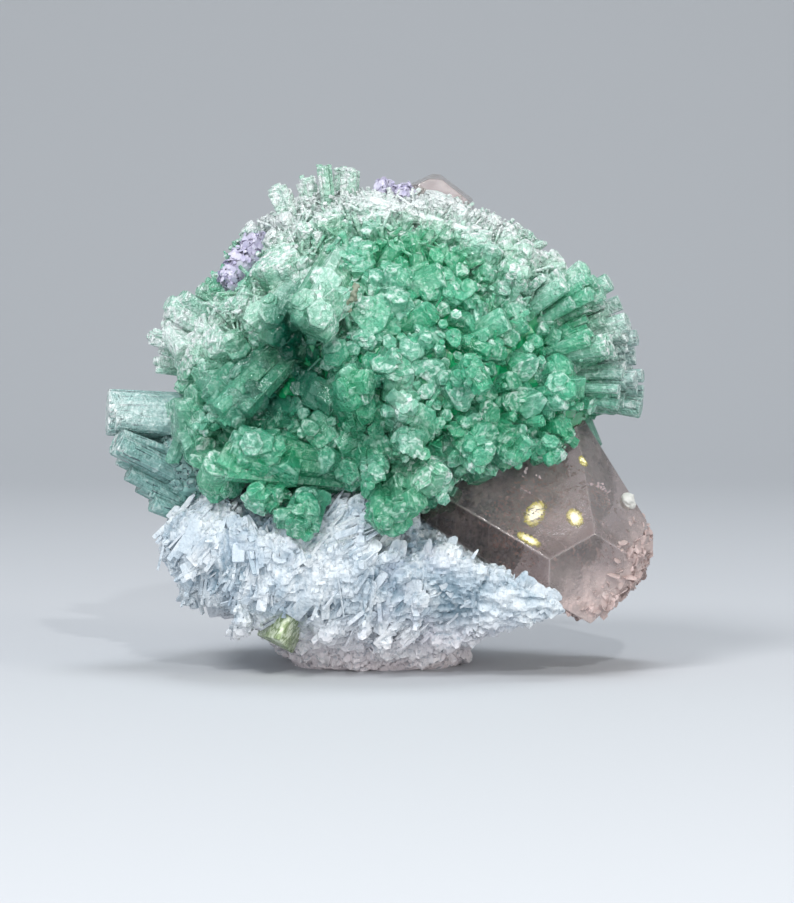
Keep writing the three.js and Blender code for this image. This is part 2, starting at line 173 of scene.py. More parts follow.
def scatter(index: int, channel: int) -> float:
    """A repeatable number from 0 to 1 for each pair of whole numbers."""
    wave = math.sin(index * 12.9898 + channel * 78.233) * 43758.5453
    return wave - math.floor(wave)


def draws(index: int, channel: int) -> np.ndarray:
    """Three repeatable numbers from 0 to 1, on three channels in a row."""
    return np.array([scatter(index, channel + k) for k in range(3)])


def spiral(count: int) -> Iterator[np.ndarray]:
    """Evenly spaced directions over a whole ball.

    Args:
        count: How many.

    Returns:
        The directions, each one unit long, from the top down.
    """
    for i in range(count):
        height = 1 - (2 * i + 1) / count
        ring = math.sqrt(1 - height * height)
        yield np.array([ring * math.cos(i * GOLDEN_ANGLE), ring * math.sin(i * GOLDEN_ANGLE), height])


def between(low: float, high: float, share: float) -> float:
    """The value that lies that share of the way from low to high."""
    return low + (high - low) * share


def unit(values: np.ndarray) -> np.ndarray:
    """A vector at length one."""
    return values / np.linalg.norm(values)


def linear(code: str) -> tuple[float, float, float, float]:
    """The colour of a web code such as 5FAA87, as the shader's own values.

    Args:
        code: Six hexadecimal digits.

    Returns:
        Red, green, blue and full opacity.
    """
    parts = [int(code[i : i + 2], 16) / 255 for i in (0, 2, 4)]
    red, green, blue = [c / 12.92 if c <= 0.04045 else ((c + 0.055) / 1.055) ** 2.4 for c in parts]
    return red, green, blue, 1.0


def deselect_all() -> None:
    """Leaves nothing selected."""
    bpy.ops.object.select_all(action="DESELECT")


def select_only(obj: bpy.types.Object) -> None:
    """Selects one object and makes it the active one.

    Args:
        obj: The object.
    """
    deselect_all()
    obj.select_set(True)
    bpy.context.view_layer.objects.active = obj


def edit_faces(obj: bpy.types.Object, wanted: Callable[[bpy.types.MeshPolygon], bool]) -> None:
    """Opens an object in edit mode with some of its faces selected.

    Args:
        obj: The object, in object mode.
        wanted: Says of each face whether it is selected.
    """
    select_only(obj)
    bpy.context.tool_settings.mesh_select_mode = (False, False, True)
    for group in (obj.data.vertices, obj.data.edges):
        group.foreach_set("select", np.zeros(len(group), bool))
    for face in obj.data.polygons:
        face.select = wanted(face)
    bpy.ops.object.mode_set(mode="EDIT")


def stop_editing() -> None:
    """Goes back to object mode."""
    bpy.ops.object.mode_set(mode="OBJECT")


def apply_modifier(obj: bpy.types.Object, kind: str, **settings: object) -> None:
    """Adds one modifier to an object and applies it.

    Args:
        obj: The object to change.
        kind: The modifier's type, such as BEVEL.
        settings: The modifier's own values by name.
    """
    select_only(obj)
    modifier = obj.modifiers.new(kind.title(), kind)
    for name, value in settings.items():
        setattr(modifier, name, value)
    bpy.ops.object.modifier_apply(modifier=modifier.name)


def wear_edges(obj: bpy.types.Object, width: float, segments: int = 1, angle: float = 0.5) -> None:
    """Bevels every edge that is sharper than an angle in radians."""
    apply_modifier(obj, "BEVEL", width=width, segments=segments, limit_method="ANGLE", angle_limit=angle)


def roughen(obj: bpy.types.Object, size: float, strength: float) -> None:
    """Displaces a piece by a pattern of cells, both values in metres.

    Args:
        obj: The piece.
        size: Width of a cell.
        strength: Height of the relief.
    """
    pattern = bpy.data.textures.new(obj.name, "VORONOI")
    pattern.noise_scale = size
    apply_modifier(obj, "DISPLACE", texture=pattern, strength=strength, mid_level=0.6, texture_coords="LOCAL")


@dataclass(frozen=True)
class Shape:
    """A modelled shape as arrays, ready to be copied many times."""

    points: np.ndarray
    corners: np.ndarray
    sizes: np.ndarray
    narrow: np.ndarray

    @classmethod
    def taken_from(cls, obj: bpy.types.Object, narrow_below: float) -> "Shape":
        """Reads a modelled object and removes it.

        Args:
            obj: The object, with its modifiers applied.
            narrow_below: Faces with a side shorter than this are the bevels along the edges.

        Returns:
            The shape.
        """
        mesh = obj.data
        points = np.empty(len(mesh.vertices) * 3, np.float32)
        corners = np.empty(len(mesh.loops), np.int32)
        sizes = np.empty(len(mesh.polygons), np.int32)
        mesh.vertices.foreach_get("co", points)
        mesh.loops.foreach_get("vertex_index", corners)
        mesh.polygons.foreach_get("loop_total", sizes)
        points = points.reshape(-1, 3).astype(float)
        narrow = []
        for face in mesh.polygons:
            ring = points[list(face.vertices)]
            sides = np.linalg.norm(ring - np.roll(ring, 1, axis=0), axis=1)
            narrow.append(float(sides.min() < narrow_below))
        bpy.data.objects.remove(obj)
        bpy.data.meshes.remove(mesh)
        return cls(points, corners, sizes, np.array(narrow, np.float32))


class Heap:
    """Gathers copies of modelled shapes into one mesh, with what the finishes read of each point."""

    def __init__(self, name: str) -> None:
        """Starts an empty heap for the piece of that name.

        Args:
            name: The name of the piece.
        """
        self.name = name
        self.points: list[np.ndarray] = []
        self.corners: list[np.ndarray] = []
        self.sizes: list[np.ndarray] = []
        self.narrow: list[np.ndarray] = []
        self.marks: dict[str, list[np.ndarray]] = {}
        self.count = 0

    def add(self, shape: Shape, points: np.ndarray, marks: dict[str, np.ndarray]) -> None:
        """Adds one copy of a shape.

        Args:
            shape: The shape whose faces are copied.
            points: Where this copy's points lie, in millimetres.
            marks: Named values of each point, one or three to a point.
        """
        self.points.append(points)
        self.corners.append(shape.corners + self.count)
        self.sizes.append(shape.sizes)
        self.narrow.append(shape.narrow)
        for name, values in marks.items():
            self.marks.setdefault(name, []).append(values)
        self.count += len(points)

    def made(self, zones: dict[str, Callable[[np.ndarray], np.ndarray]]) -> bpy.types.Object:
        """Makes the object.

        Args:
            zones: Named marks that depend on the place alone.

        Returns:
            The object, at the origin, in metres.
        """
        points = inside_box(np.concatenate(self.points))
        corners = np.concatenate(self.corners).astype(np.int32)
        sizes = np.concatenate(self.sizes)
        mesh = bpy.data.meshes.new(self.name)
        mesh.vertices.add(len(points))
        mesh.vertices.foreach_set("co", (points * MM).astype(np.float32).ravel())
        mesh.loops.add(len(corners))
        mesh.loops.foreach_set("vertex_index", corners)
        mesh.polygons.add(len(sizes))
        mesh.polygons.foreach_set("loop_start", (np.cumsum(sizes) - sizes).astype(np.int32))
        mesh.update(calc_edges=True)
        # The edge mark picks out the narrow bevel faces; the finishes whiten them a little as painted
        # highlight.
        write_mark(mesh, "edge", "FACE", np.concatenate(self.narrow))
        for name, values in self.marks.items():
            write_mark(mesh, name, "POINT", np.concatenate(values))
        for name, zone in zones.items():
            write_mark(mesh, name, "POINT", zone(points))
        obj = bpy.data.objects.new(self.name, mesh)
        bpy.context.scene.collection.objects.link(obj)
        return obj


def write_mark(mesh: bpy.types.Mesh, name: str, domain: str, values: np.ndarray) -> None:
    """Stores one named value, or one vector, for each point or face of a mesh.

    Args:
        mesh: The mesh.
        name: The name that a material reads it by.
        domain: POINT or FACE.
        values: One row for each point or face.
    """
    kind, key = ("FLOAT_VECTOR", "vector") if values.ndim == 2 else ("FLOAT", "value")
    attribute = mesh.attributes.new(name, kind, domain)
    attribute.data.foreach_set(key, values.astype(np.float32).ravel())


def inside_box(points: np.ndarray) -> np.ndarray:
    """Points in millimetres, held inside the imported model's box."""
    low, high = (np.array(corner) / MM for corner in CAD_BOX)
    return np.clip(points, low, high)


class CrystalForm(Enum):
    """The ends and sections of the modelled crystals."""

    FLAT = "flat"
    DOMED = "domed"
    STEPPED = "stepped"
    ROUNDED = "rounded"
    SLANTED = "slanted"
    STRIATED = "striated"
    FINE = "fine"


MIXED_FORMS = (
    CrystalForm.ROUNDED, CrystalForm.STEPPED, CrystalForm.FLAT, CrystalForm.DOMED, CrystalForm.SLANTED,
)
WORN_RIMS = (CrystalForm.FLAT, CrystalForm.ROUNDED, CrystalForm.FINE)


@dataclass(frozen=True)
class CrystalModeller:
    """Models one crystal of each form, one radius wide and four long, standing on the origin."""

    edge_width: float = 0.07
    grooves: int = 12
    groove_depth: float = 0.07
    roundness: float = 0.1

    def model(self, form: CrystalForm) -> Shape:
        """Models one form and gives it as arrays.

        Args:
            form: Which form.

        Returns:
            The shape, with its bevels marked as narrow.
        """
        sides = {CrystalForm.ROUNDED: 12, CrystalForm.STRIATED: self.grooves * 2}.get(form, 6)
        deselect_all()
        bpy.ops.mesh.primitive_cylinder_add(
            vertices=sides, radius=1, depth=TEMPLATE_LENGTH, location=(0, 0, TEMPLATE_LENGTH / 2)
        )
        obj = bpy.context.object
        bpy.ops.object.transform_apply(location=True)
        if form is CrystalForm.STRIATED:
            self.groove(obj)
        if form is CrystalForm.ROUNDED:
            self.round_to_three_sides(obj)
        self.shape_end(obj, form)
        if form is not CrystalForm.FINE:
            wear_edges(obj, self.edge_width)
        return Shape.taken_from(obj, self.edge_width * 1.9)

    def groove(self, obj: bpy.types.Object) -> None:
        """Draws every second corner of the section in, which leaves lengthwise grooves.

        Args:
            obj: The many-sided column.
        """
        for vertex in obj.data.vertices:
            step = round(math.atan2(vertex.co.y, vertex.co.x) / math.pi * self.grooves)
            if step % 2:
                vertex.co.xy *= 1 - self.groove_depth

    def round_to_three_sides(self, obj: bpy.types.Object) -> None:
        """Gives the section the bulging three-sided form that is usual for this mineral.

        Args:
            obj: The twelve-sided column.
        """
        for vertex in obj.data.vertices:
            angle = math.atan2(vertex.co.y, vertex.co.x)
            vertex.co.xy *= 1 + self.roundness * math.cos(3 * angle) - self.roundness / 2

    def shape_end(self, obj: bpy.types.Object, form: CrystalForm) -> None:
        """Shapes the upper end: low pyramid, a terrace to one side, a slant or a worn rim.

        Args:
            obj: The column.
            form: Which form it gets.
        """
        edit_faces(obj, lambda face: face.normal.z > 0.9)
        if form is CrystalForm.DOMED:
            bpy.ops.mesh.extrude_region_move(TRANSFORM_OT_translate={"value": (0.08, -0.05, 0)})
            bpy.ops.transform.resize(value=(0.46, 0.4, 1))
        elif form is CrystalForm.STEPPED:
            bpy.ops.mesh.inset(thickness=0.3)
            bpy.ops.transform.translate(value=(0.2, 0.08, 0.02))
            bpy.ops.mesh.extrude_region_move(TRANSFORM_OT_translate={"value": (0.03, 0, 0.26)})
        elif form is not CrystalForm.SLANTED:
            bpy.ops.mesh.inset(thickness=0.14)
            bpy.ops.transform.translate(value=(0.05, 0.03, 0))
        stop_editing()
        for vertex in obj.data.vertices:
            if vertex.co.z < TEMPLATE_LENGTH / 2:
                continue
            if form is CrystalForm.SLANTED:
                vertex.co.z -= 0.3 * (1 + vertex.co.x)
            if form is CrystalForm.DOMED and vertex.co.xy.length > 0.7:
                vertex.co.z -= 0.34
            if form in WORN_RIMS and vertex.co.xy.length > 0.88:
                vertex.co.z -= 0.12


def standing(
    shape: Shape, prism: Prism, roll: float, squeeze: float
) -> tuple[np.ndarray, dict[str, np.ndarray]]:
    """Stands a copy of a modelled crystal on its root.

    Args:
        shape: The modelled crystal.
        prism: Tip, root and radius, in millimetres.
        roll: The turn about its own axis, in radians.
        squeeze: How much wider it is one way than the other.

    Returns:
        The copy's points, and its marks: the share of the way along, and the place in the crystal itself.
    """
    tip, root, radius = np.array(prism[0], float), np.array(prism[1], float), prism[2]
    length = float(np.linalg.norm(tip - root))
    z_axis = (tip - root) / length
    side = np.cross(z_axis, (0.0, 1.0, 0.0) if abs(z_axis[2]) > 0.8 else (0.0, 0.0, 1.0))
    side = unit(side)
    ahead = np.cross(z_axis, side)
    x_axis = side * math.cos(roll) + ahead * math.sin(roll)
    y_axis = np.cross(z_axis, x_axis)
    body = TEMPLATE_LENGTH - TEMPLATE_END
    up = shape.points[:, 2]
    end = min(radius, length / 2)
    height = np.minimum(up, body) / body * (length - end * TEMPLATE_END) + np.maximum(up - body, 0) * end
    across = shape.points[:, 0] * radius * squeeze
    deep = shape.points[:, 1] * radius / squeeze
    points = root + across[:, None] * x_axis + deep[:, None] * y_axis + height[:, None] * z_axis
    return points, {"along": height / length, "local": np.column_stack([across, deep, height])}


@dataclass(frozen=True)
class Zone:
    """A soft-edged patch of the specimen as seen from the front, in millimetres."""

    x: float
    z: float
    wide: float
    high: float
    strength: float = 1.0

    def share(self, points: np.ndarray) -> np.ndarray:
        """How strongly the patch covers each point.

        Args:
            points: The points, in millimetres.

        Returns:
            A share for each point, from 0 to the strength of the patch.
        """
        across = (points[:, 0] - self.x) / self.wide
        up = (points[:, 2] - self.z) / self.high
        return self.strength * np.exp(-(across**2) - up**2)


def covered(zones: tuple[Zone, ...]) -> Callable[[np.ndarray], np.ndarray]:
    """A function that gives how strongly a set of patches covers each point, from 0 to 1."""
    return lambda points: np.clip(sum(zone.share(points) for zone in zones), 0, 1)


@dataclass
class Bench:
    """Lays out a node material with short calls."""

    name: str
    material: bpy.types.Material = field(init=False)
    shader: bpy.types.Node = field(init=False)

    def __post_init__(self) -> None:
        """Starts the material with its Principled shader."""
        self.material = bpy.data.materials.new(self.name)
        self.material.use_nodes = True
        self.shader = self.material.node_tree.nodes["Principled BSDF"]

    def node(self, kind: str, inputs: dict[str, object] | None = None, **settings: object) -> bpy.types.Node:
        """Adds a node.

        Args:
            kind: The node's type without its ShaderNode beginning.
            inputs: Values or sockets for the node's inputs, by name or number.
            settings: The node's own properties.

        Returns:
            The node.
        """
        made = self.material.node_tree.nodes.new("ShaderNode" + kind)
        for key, value in settings.items():
            setattr(made, key, value)
        for key, value in (inputs or {}).items():
            self.put(made.inputs[key], value)
        return made

    def put(self, target: Socket, value: object) -> None:
        """Sets an input to a value, or links it to an output.

        Args:
            target: The input.
            value: A plain value or an output.
        """
        if isinstance(value, bpy.types.NodeSocket):
            self.material.node_tree.links.new(value, target)
        else:
            target.default_value = value

    def dress(self, **inputs: object) -> None:
        """Sets inputs of the Principled shader, their names written with underscores."""
        for key, value in inputs.items():
            self.put(self.shader.inputs[key.replace("_", " ").title().replace("Ior", "IOR")], value)

    def place(self) -> Socket:
        """The point in the object's own coordinates, in metres."""
        return self.node("TexCoord").outputs["Object"]

    def mark(self, name: str) -> Socket:
        """A named value that the mesh carries."""
        return self.node("Attribute", attribute_name=name).outputs["Fac"]

    def mark_vector(self, name: str) -> Socket:
        """A named vector that the mesh carries."""
        return self.node("Attribute", attribute_name=name).outputs["Vector"]

    def noise(self, where: Socket, scale: float, detail: float = 3.0, distortion: float = 0.0) -> Socket:
        """Cloudy noise from 0 to 1."""
        inputs = {"Vector": where, "Scale": scale, "Detail": detail, "Distortion": distortion}
        return self.node("TexNoise", inputs).outputs["Fac"]

    def cells(self, where: Socket, scale: float) -> Socket:
        """Distance to the nearest cell's middle."""
        return self.node("TexVoronoi", {"Vector": where, "Scale": scale}).outputs["Distance"]

    def stretched(self, where: Socket, scale: Point) -> Socket:
        """Coordinates scaled differently in each direction."""
        return self.node("Mapping", {"Vector": where, "Scale": scale}).outputs["Vector"]

    def sum(self, kind: str, first: object, second: object, clamp: bool = False) -> Socket:
        """One arithmetic step, such as ADD, MULTIPLY or POWER."""
        return self.node("Math", {0: first, 1: second}, operation=kind, use_clamp=clamp).outputs[0]

    def rise(self, value: Socket, start: float, end: float, low: float = 0.0, high: float = 1.0) -> Socket:
        """Goes from low to high as a value goes from start to end, and no further."""
        inputs = {"Value": value, "From Min": start, "From Max": end, "To Min": low, "To Max": high}
        return self.node("MapRange", inputs).outputs["Result"]

    def mix(self, share: object, first: object, second: object) -> Socket:
        """Goes from the first colour to the second."""
        made = self.node("Mix", {0: share, 6: first, 7: second}, data_type="RGBA")
        return made.outputs[2]

    def bump(self, height: Socket, strength: float, depth: float, under: Socket | None = None) -> Socket:
        """Turns a height into a tilt of the surface.

        Args:
            height: The height, from 0 to 1.
            strength: How much of the tilt shows.
            depth: What a height of 1 stands for, in metres.
            under: An earlier tilt that this one is added to.

        Returns:
            The normal.
        """
        inputs: dict[str, object] = {"Height": height, "Strength": strength, "Distance": depth}
        if under is not None:
            inputs["Normal"] = under
        return self.node("Bump", inputs).outputs["Normal"]


@dataclass(frozen=True)
class TourmalineFinish:
    """See-through green crystal with painted shade towards the roots and under the deep mark, frosty where
    the frost mark says so.
    """

    name: str = "tourmaline_green"
    # The root colour is painted shade: each crystal darkens towards its root, where the crystals crowd
    # together.
    root: str = "00A26A"
    tip: str = "5CE6B4"
    pale: str = "A8F0DA"
    warm: str = "3CCE90"
    # The deep colour is painted shade in the green hollow and the gaps of the spray.
    deep: str = "006F58"
    frost: str = "E6EDEC"
    aqua: str = "B5DAD8"
    streak: str = "2B4157"
    index: float = 1.62
    see_through: float = 0.6

    def material(self) -> bpy.types.Material:
        """Lays out the material.

        Returns:
            The material.
        """
        bench = Bench(self.name)
        place = bench.place()
        along = bench.mark("along")
        frost = bench.mark("frost")
        deep = bench.mark("deep")
        aqua = bench.mark("aqua")
        shallow = bench.sum("SUBTRACT", 1.0, deep)
        veils = bench.noise(place, 820.0, 5.0, 0.6)
        threads = bench.noise(bench.stretched(bench.mark_vector("local"), (1.6, 1.6, 0.16)), 1.0, 3.0)
        # Painted shade: darker towards each crystal's root.
        body = bench.mix(bench.rise(along, 0.35, 0.95), linear(self.root), linear(self.tip))
        body = bench.mix(bench.sum("MULTIPLY", bench.mark("tint"), 0.6), body, linear(self.pale))
        body = bench.mix(bench.rise(bench.noise(place, 80.0), 0.45, 0.6, 0.0, 0.6), body, linear(self.warm))
        body = bench.mix(bench.rise(threads, 0.42, 0.3, 0.0, 0.3), body, linear(self.root))
        # Painted shade: darker where the deep mark covers the hollow and the gaps.
        body = bench.mix(bench.sum("MULTIPLY", deep, 0.95), body, linear(self.deep))
        body = bench.mix(aqua, body, linear(self.aqua))
        streaks = bench.rise(threads, 0.58, 0.64)
        streaks = bench.sum("MULTIPLY", streaks, bench.rise(along, 0.5, 0.8))
        body = bench.mix(bench.sum("MULTIPLY", streaks, aqua), body, linear(self.streak))
        veiled = bench.rise(veils, 0.5, 0.68, 0.0, 0.35)
        frosted = bench.sum("MULTIPLY", frost, bench.rise(veils, 0.3, 0.5, 0.8, 1.05))
        milky = bench.sum("ADD", frosted, veiled, True)
        # Painted highlight: the narrow bevel faces along the edges turn a little milky.
        milky = bench.sum("ADD", milky, bench.sum("MULTIPLY", bench.mark("edge"), 0.1), True)
        worn = bench.sum("MULTIPLY", bench.rise(along, 0.9, 1.0), bench.rise(veils, 0.42, 0.58, 0.0, 0.5))
        milky = bench.sum("ADD", milky, bench.sum("MULTIPLY", worn, bench.mark("tint")), True)
        milky = bench.sum("MULTIPLY", milky, shallow)
        body = bench.mix(milky, body, linear(self.frost))
        clear = bench.sum("MULTIPLY", bench.sum("SUBTRACT", 1.0, milky), self.see_through)
        rough = bench.rise(bench.noise(place, 900.0, 3.0), 0.35, 0.65, 0.04, 0.2)
        rough = bench.sum("ADD", rough, bench.sum("MULTIPLY", frost, 0.25), True)
        facets = bench.cells(place, 650.0)
        pits = bench.sum("ADD", bench.noise(place, 1500.0, 3.0), bench.sum("MULTIPLY", facets, 0.35))
        etched = bench.sum("ADD", bench.rise(along, 0.8, 1.0, 0.4, 1.0), frost)
        etched = bench.sum("MULTIPLY", etched, bench.rise(shallow, 0.0, 1.0, 0.3, 1.0))
        pits = bench.sum("MULTIPLY", pits, etched)
        tilt = bench.bump(bench.noise(place, 330.0, 3.0, 0.4), 0.6, 0.0015)
        tilt = bench.bump(pits, 0.9, 0.0009, tilt)
        bench.dress(base_color=body, roughness=rough, transmission_weight=clear, ior=self.index, normal=tilt)
        return bench.material


@dataclass(frozen=True)
class RootFinish:
    """The dense deep green mass that the prisms grow out of."""

    name: str = "tourmaline_roots"
    dark: str = "00804A"
    light: str = "24AC72"
    frost: str = "D3E9E1"

    def material(self) -> bpy.types.Material:
        """Lays out the material.

        Returns:
            The material.
        """
        bench = Bench(self.name)
        place = bench.place()
        body = bench.mix(bench.noise(place, 260.0, 5.0, 0.8), linear(self.dark), linear(self.light))
        body = bench.mix(bench.mark("frost"), body, linear(self.frost))
        tilt = bench.bump(bench.cells(place, 420.0), 0.6, 0.0006)
        bench.dress(base_color=body, roughness=0.25, ior=1.62, coat_weight=0.4, normal=tilt)
        return bench.material


@dataclass(frozen=True)
class MorganiteFinish:
    """Clear greyish-pink crystal that takes in light, frosted where the frost mark says so, with painted
    shade on its flat faces.
    """

    name: str
    tint: str = "E6DAD8"
    # The deep colour is painted shade, for the darker flat faces.
    deep: str = "94827E"
    frost: str = "D9C3BF"
    absorbed: str = "AB8F8D"
    absorption: float = 11.0
    haze: float = 0.12

    def material(self) -> bpy.types.Material:
        """Lays out the material.

        Returns:
            The material.
        """
        bench = Bench(self.name)
        place = bench.place()
        frost = bench.mark("frost")
        patches = bench.rise(bench.noise(place, 330.0, 5.0, 0.5), 0.38, 0.6)
        skin = bench.sum("MULTIPLY", frost, bench.rise(patches, 0.0, 1.0, 0.55, 1.0), True)
        # Painted highlight: the worn edges between the flat faces are frosted a little, as thin bright lines.
        skin = bench.sum("MAXIMUM", skin, bench.sum("MULTIPLY", bench.mark("edge"), 0.14))
        # Painted shade: each flat face darkens towards the deep colour by its own share.
        glass = bench.mix(bench.mark("facet_shade"), linear(self.tint), linear(self.deep))
        body = bench.mix(skin, glass, linear(self.frost))
        clear = bench.sum("SUBTRACT", 1.0 - self.haze, bench.sum("MULTIPLY", skin, 0.72 - self.haze))
        rough = bench.rise(skin, 0.0, 1.0, 0.02, 0.5)
        lines = bench.noise(bench.stretched(place, (60.0, 60.0, 900.0)), 1.0, 2.0)
        grain = bench.noise(place, 1300.0, 4.0)
        tilt = bench.bump(lines, 0.12, 0.0002)
        tilt = bench.bump(bench.sum("MULTIPLY", grain, skin), 0.8, 0.0006, tilt)
        bench.dress(base_color=body, roughness=rough, transmission_weight=clear, ior=1.58, normal=tilt)
        inside = bench.node("VolumeAbsorption", {"Color": linear(self.absorbed), "Density": self.absorption})
        output = bench.material.node_tree.nodes["Material Output"]
        bench.put(output.inputs["Volume"], inside.outputs[0])
        return bench.material


@dataclass(frozen=True)
class VeilFinish:
    """Pale flakes and fluid veils inside the clear crystals."""

    name: str
    colour: str
    roughness: float = 0.3

    def material(self) -> bpy.types.Material:
        """Lays out the material.

        Returns:
            The material.
        """
        bench = Bench(self.name)
        spots = bench.noise(bench.place(), 700.0, 3.0)
        dark = tuple(0.6 * c for c in linear(self.colour)[:3]) + (1.0,)
        bench.dress(base_color=bench.mix(spots, dark, linear(self.colour)), roughness=self.roughness)
        return bench.material


@dataclass(frozen=True)
class PaintedFlashFinish:
    """Painted reflection in a crack that gives off light: white at its middle, yellow and fading out towards
    its rim.
    """

    name: str = "morganite_painted_flash"
    core: str = "FDFFF2"
    rim: str = "DAD862"
    # Strength of the painted light that the flakes give off.
    painted_glow: float = 0.8

    def material(self) -> bpy.types.Material:
        """Lays out the material.

        Returns:
            The material.
        """
        bench = Bench(self.name)
        middle = bench.mark("middle")
        body = bench.mix(bench.rise(middle, 0.3, 0.8), linear(self.rim), linear(self.core))
        clear = bench.rise(middle, 0.02, 0.5, 1.0, 0.0)
        # Painted light: the flakes give off light, most at each crack's middle.
        painted_glow = bench.rise(middle, 0.05, 0.8, 0.0, self.painted_glow)
        bench.dress(base_color=body, roughness=0.1, ior=1.02, transmission_weight=clear)
        bench.dress(emission_color=body, emission_strength=painted_glow)
        return bench.material


@dataclass(frozen=True)
class FeldsparFinish:
    """Blue-white bladed feldspar: pearly, with painted shade in the hollows, painted highlight on the ridges,
    and paler pinkish towards the bottom as painted light.
    """

    name: str
    white: str = "D6DDE2"
    blue: str = "A9BAC7"
    # The hollow colour is the feldspar's own grey grain, and painted shade in the hollows.
    hollow: str = "7F97A6"
    lilac: str = "B6B5C9"
    # The glint colour is a painted highlight on the rock's ridges, and a paler colour on some blades.
    glint: str = "F4F6F8"
    # The pink is painted light: the rock turns paler and pinkish towards the bottom, standing in for light
    # thrown up from the floor.
    pink: str = "F0E4E6"

    def material(self) -> bpy.types.Material:
        """Lays out the material.

        Returns:
            The material.
        """
        bench = Bench(self.name)
        place = bench.place()
        height = bench.node("SeparateXYZ", {0: place}).outputs["Z"]
        turned = bench.node("Mapping", {"Vector": place, "Rotation": (0, 0.5, 0), "Scale": (900, 500, 160)})
        grain = bench.noise(turned.outputs["Vector"], 1.0, 4.0)
        clouds = bench.noise(place, 130.0, 5.0, 0.7)
        fine = bench.noise(place, 1100.0, 4.0)
        tint = bench.mark("tint")
        body = bench.mix(bench.rise(clouds, 0.36, 0.6), linear(self.blue), linear(self.white))
        patches = bench.rise(bench.noise(place, 75.0, 3.0), 0.56, 0.7, 0.0, 0.35)
        body = bench.mix(patches, body, linear(self.lilac))
        body = bench.mix(bench.rise(grain, 0.5, 0.36, 0.0, 0.5), body, linear(self.blue))
        # Painted shade: where the rock's relief sinks, the tint mark falls and the colour turns greyer; on
        # the blades the tint is random.
        body = bench.mix(bench.rise(tint, 0.45, 0.05), body, linear(self.hollow))
        # Painted light from the floor: paler and pinkish towards the bottom.
        low = bench.rise(bench.sum("ADD", height, bench.sum("MULTIPLY", clouds, 0.012)), 0.019, 0.007)
        body = bench.mix(bench.sum("MULTIPLY", low, 0.85), body, linear(self.pink))
        body = bench.mix(bench.rise(fine, 0.46, 0.32, 0.0, 0.5), body, linear(self.hollow))
        # Painted highlight: where the rock's relief rises, the colour turns whiter; on the blades the tint is
        # random.
        body = bench.mix(bench.rise(tint, 0.5, 1.0, 0.0, 0.3), body, linear(self.glint))
        rough = bench.rise(fine, 0.35, 0.65, 0.22, 0.6)
        tilt = bench.bump(grain, 0.6, 0.0006)
        tilt = bench.bump(fine, 0.9, 0.0006, tilt)
        bench.dress(base_color=body, roughness=rough, coat_weight=0.15, coat_roughness=0.2, normal=tilt)
        return bench.material


@dataclass(frozen=True)
class MicaFinish:
    """Purple mica with pearly cleavage faces."""

    name: str = "lepidolite_purple"
    light: str = "D2D0E0"
    dark: str = "A5A1BE"
    pearl: str = "E3DEF0"

    def material(self) -> bpy.types.Material:
        """Lays out the material.

        Returns:
            The material.
        """
        bench = Bench(self.name)
        place = bench.place()
        layers = bench.noise(bench.stretched(bench.mark_vector("local"), (1.0, 1.0, 9.0)), 1.0, 2.0)
        body = bench.mix(bench.mark("tint"), linear(self.dark), linear(self.light))
        body = bench.mix(bench.rise(bench.noise(place, 600.0), 0.5, 0.7, 0.0, 0.5), body, linear(self.pearl))
        tilt = bench.bump(layers, 0.4, 0.0003)
        bench.dress(base_color=body, roughness=0.32, sheen_weight=0.2, normal=tilt)
        return bench.material


@dataclass(frozen=True)
class YellowGreenFinish:
    """See-through yellow-green crystal with a satin skin and bright veils."""

    name: str = "crystal_yellow_green"
    light: str = "EEF8DC"
    dark: str = "B3CD8C"

    def material(self) -> bpy.types.Material:
        """Lays out the material.

        Returns:
            The material.
        """
        bench = Bench(self.name)
        place = bench.place()
        veils = bench.noise(place, 500.0, 4.0, 1.2)
        body = bench.mix(bench.rise(veils, 0.4, 0.6), linear(self.dark), linear(self.light))
        tilt = bench.bump(bench.noise(place, 1400.0, 3.0), 0.5, 0.0004)
        clear = bench.rise(veils, 0.4, 0.6, 0.55, 0.2)
        bench.dress(base_color=body, roughness=0.22, ior=1.6, transmission_weight=clear, normal=tilt)
        return bench.material


FROST_ZONES = (
    Zone(-36, 69, 9, 8, 0.8), Zone(-22, 89, 9, 7, 0.85), Zone(-7, 96, 15, 6.5, 0.95),
    Zone(12, 94, 11, 4.5, 0.85), Zone(24, 89, 9, 4.5, 0.85), Zone(36, 83, 9, 4.5, 0.75),
    Zone(48, 71, 4.5, 9, 0.5), Zone(52, 58, 4, 12, 0.25), Zone(-14, 78, 7, 6, 0.55),
    Zone(-44, 64, 4, 9, 0.5), Zone(30, 76, 8, 5, 0.35), Zone(-24, 73, 4, 5, 0.5),
    Zone(-10, 70, 4, 4, 0.35), Zone(-2, 74, 5, 5, 0.25), Zone(12, 40, 9, 4, 0.25),
    Zone(6, 55, 4, 8, 0.3),
)
# Patches of painted shade, seen from the front: the green hollow and the gaps of the spray.
HOLLOW_SHADE_ZONES = (
    Zone(-21, 57, 7, 9, 1.0), Zone(-18, 71, 3.5, 6, 0.7), Zone(-14, 64, 5, 6, 0.8),
    Zone(-31, 56, 6, 5, 0.45), Zone(1.5, 57.5, 2.5, 3, 0.9), Zone(-3, 46, 5, 4, 0.5),
    Zone(-12, 40, 7, 4, 0.5), Zone(8, 49, 5, 3, 0.4), Zone(-10, 55, 5, 6, 0.6),
    Zone(24, 58, 8, 5, 0.25), Zone(-12, 31, 8, 3, 0.4), Zone(5, 33, 5, 4, 0.3),
)
AQUA_ZONES = (Zone(-50, 46, 11, 12), Zone(53, 62, 6.5, 18, 0.9), Zone(46, 43, 3, 4, 0.7))


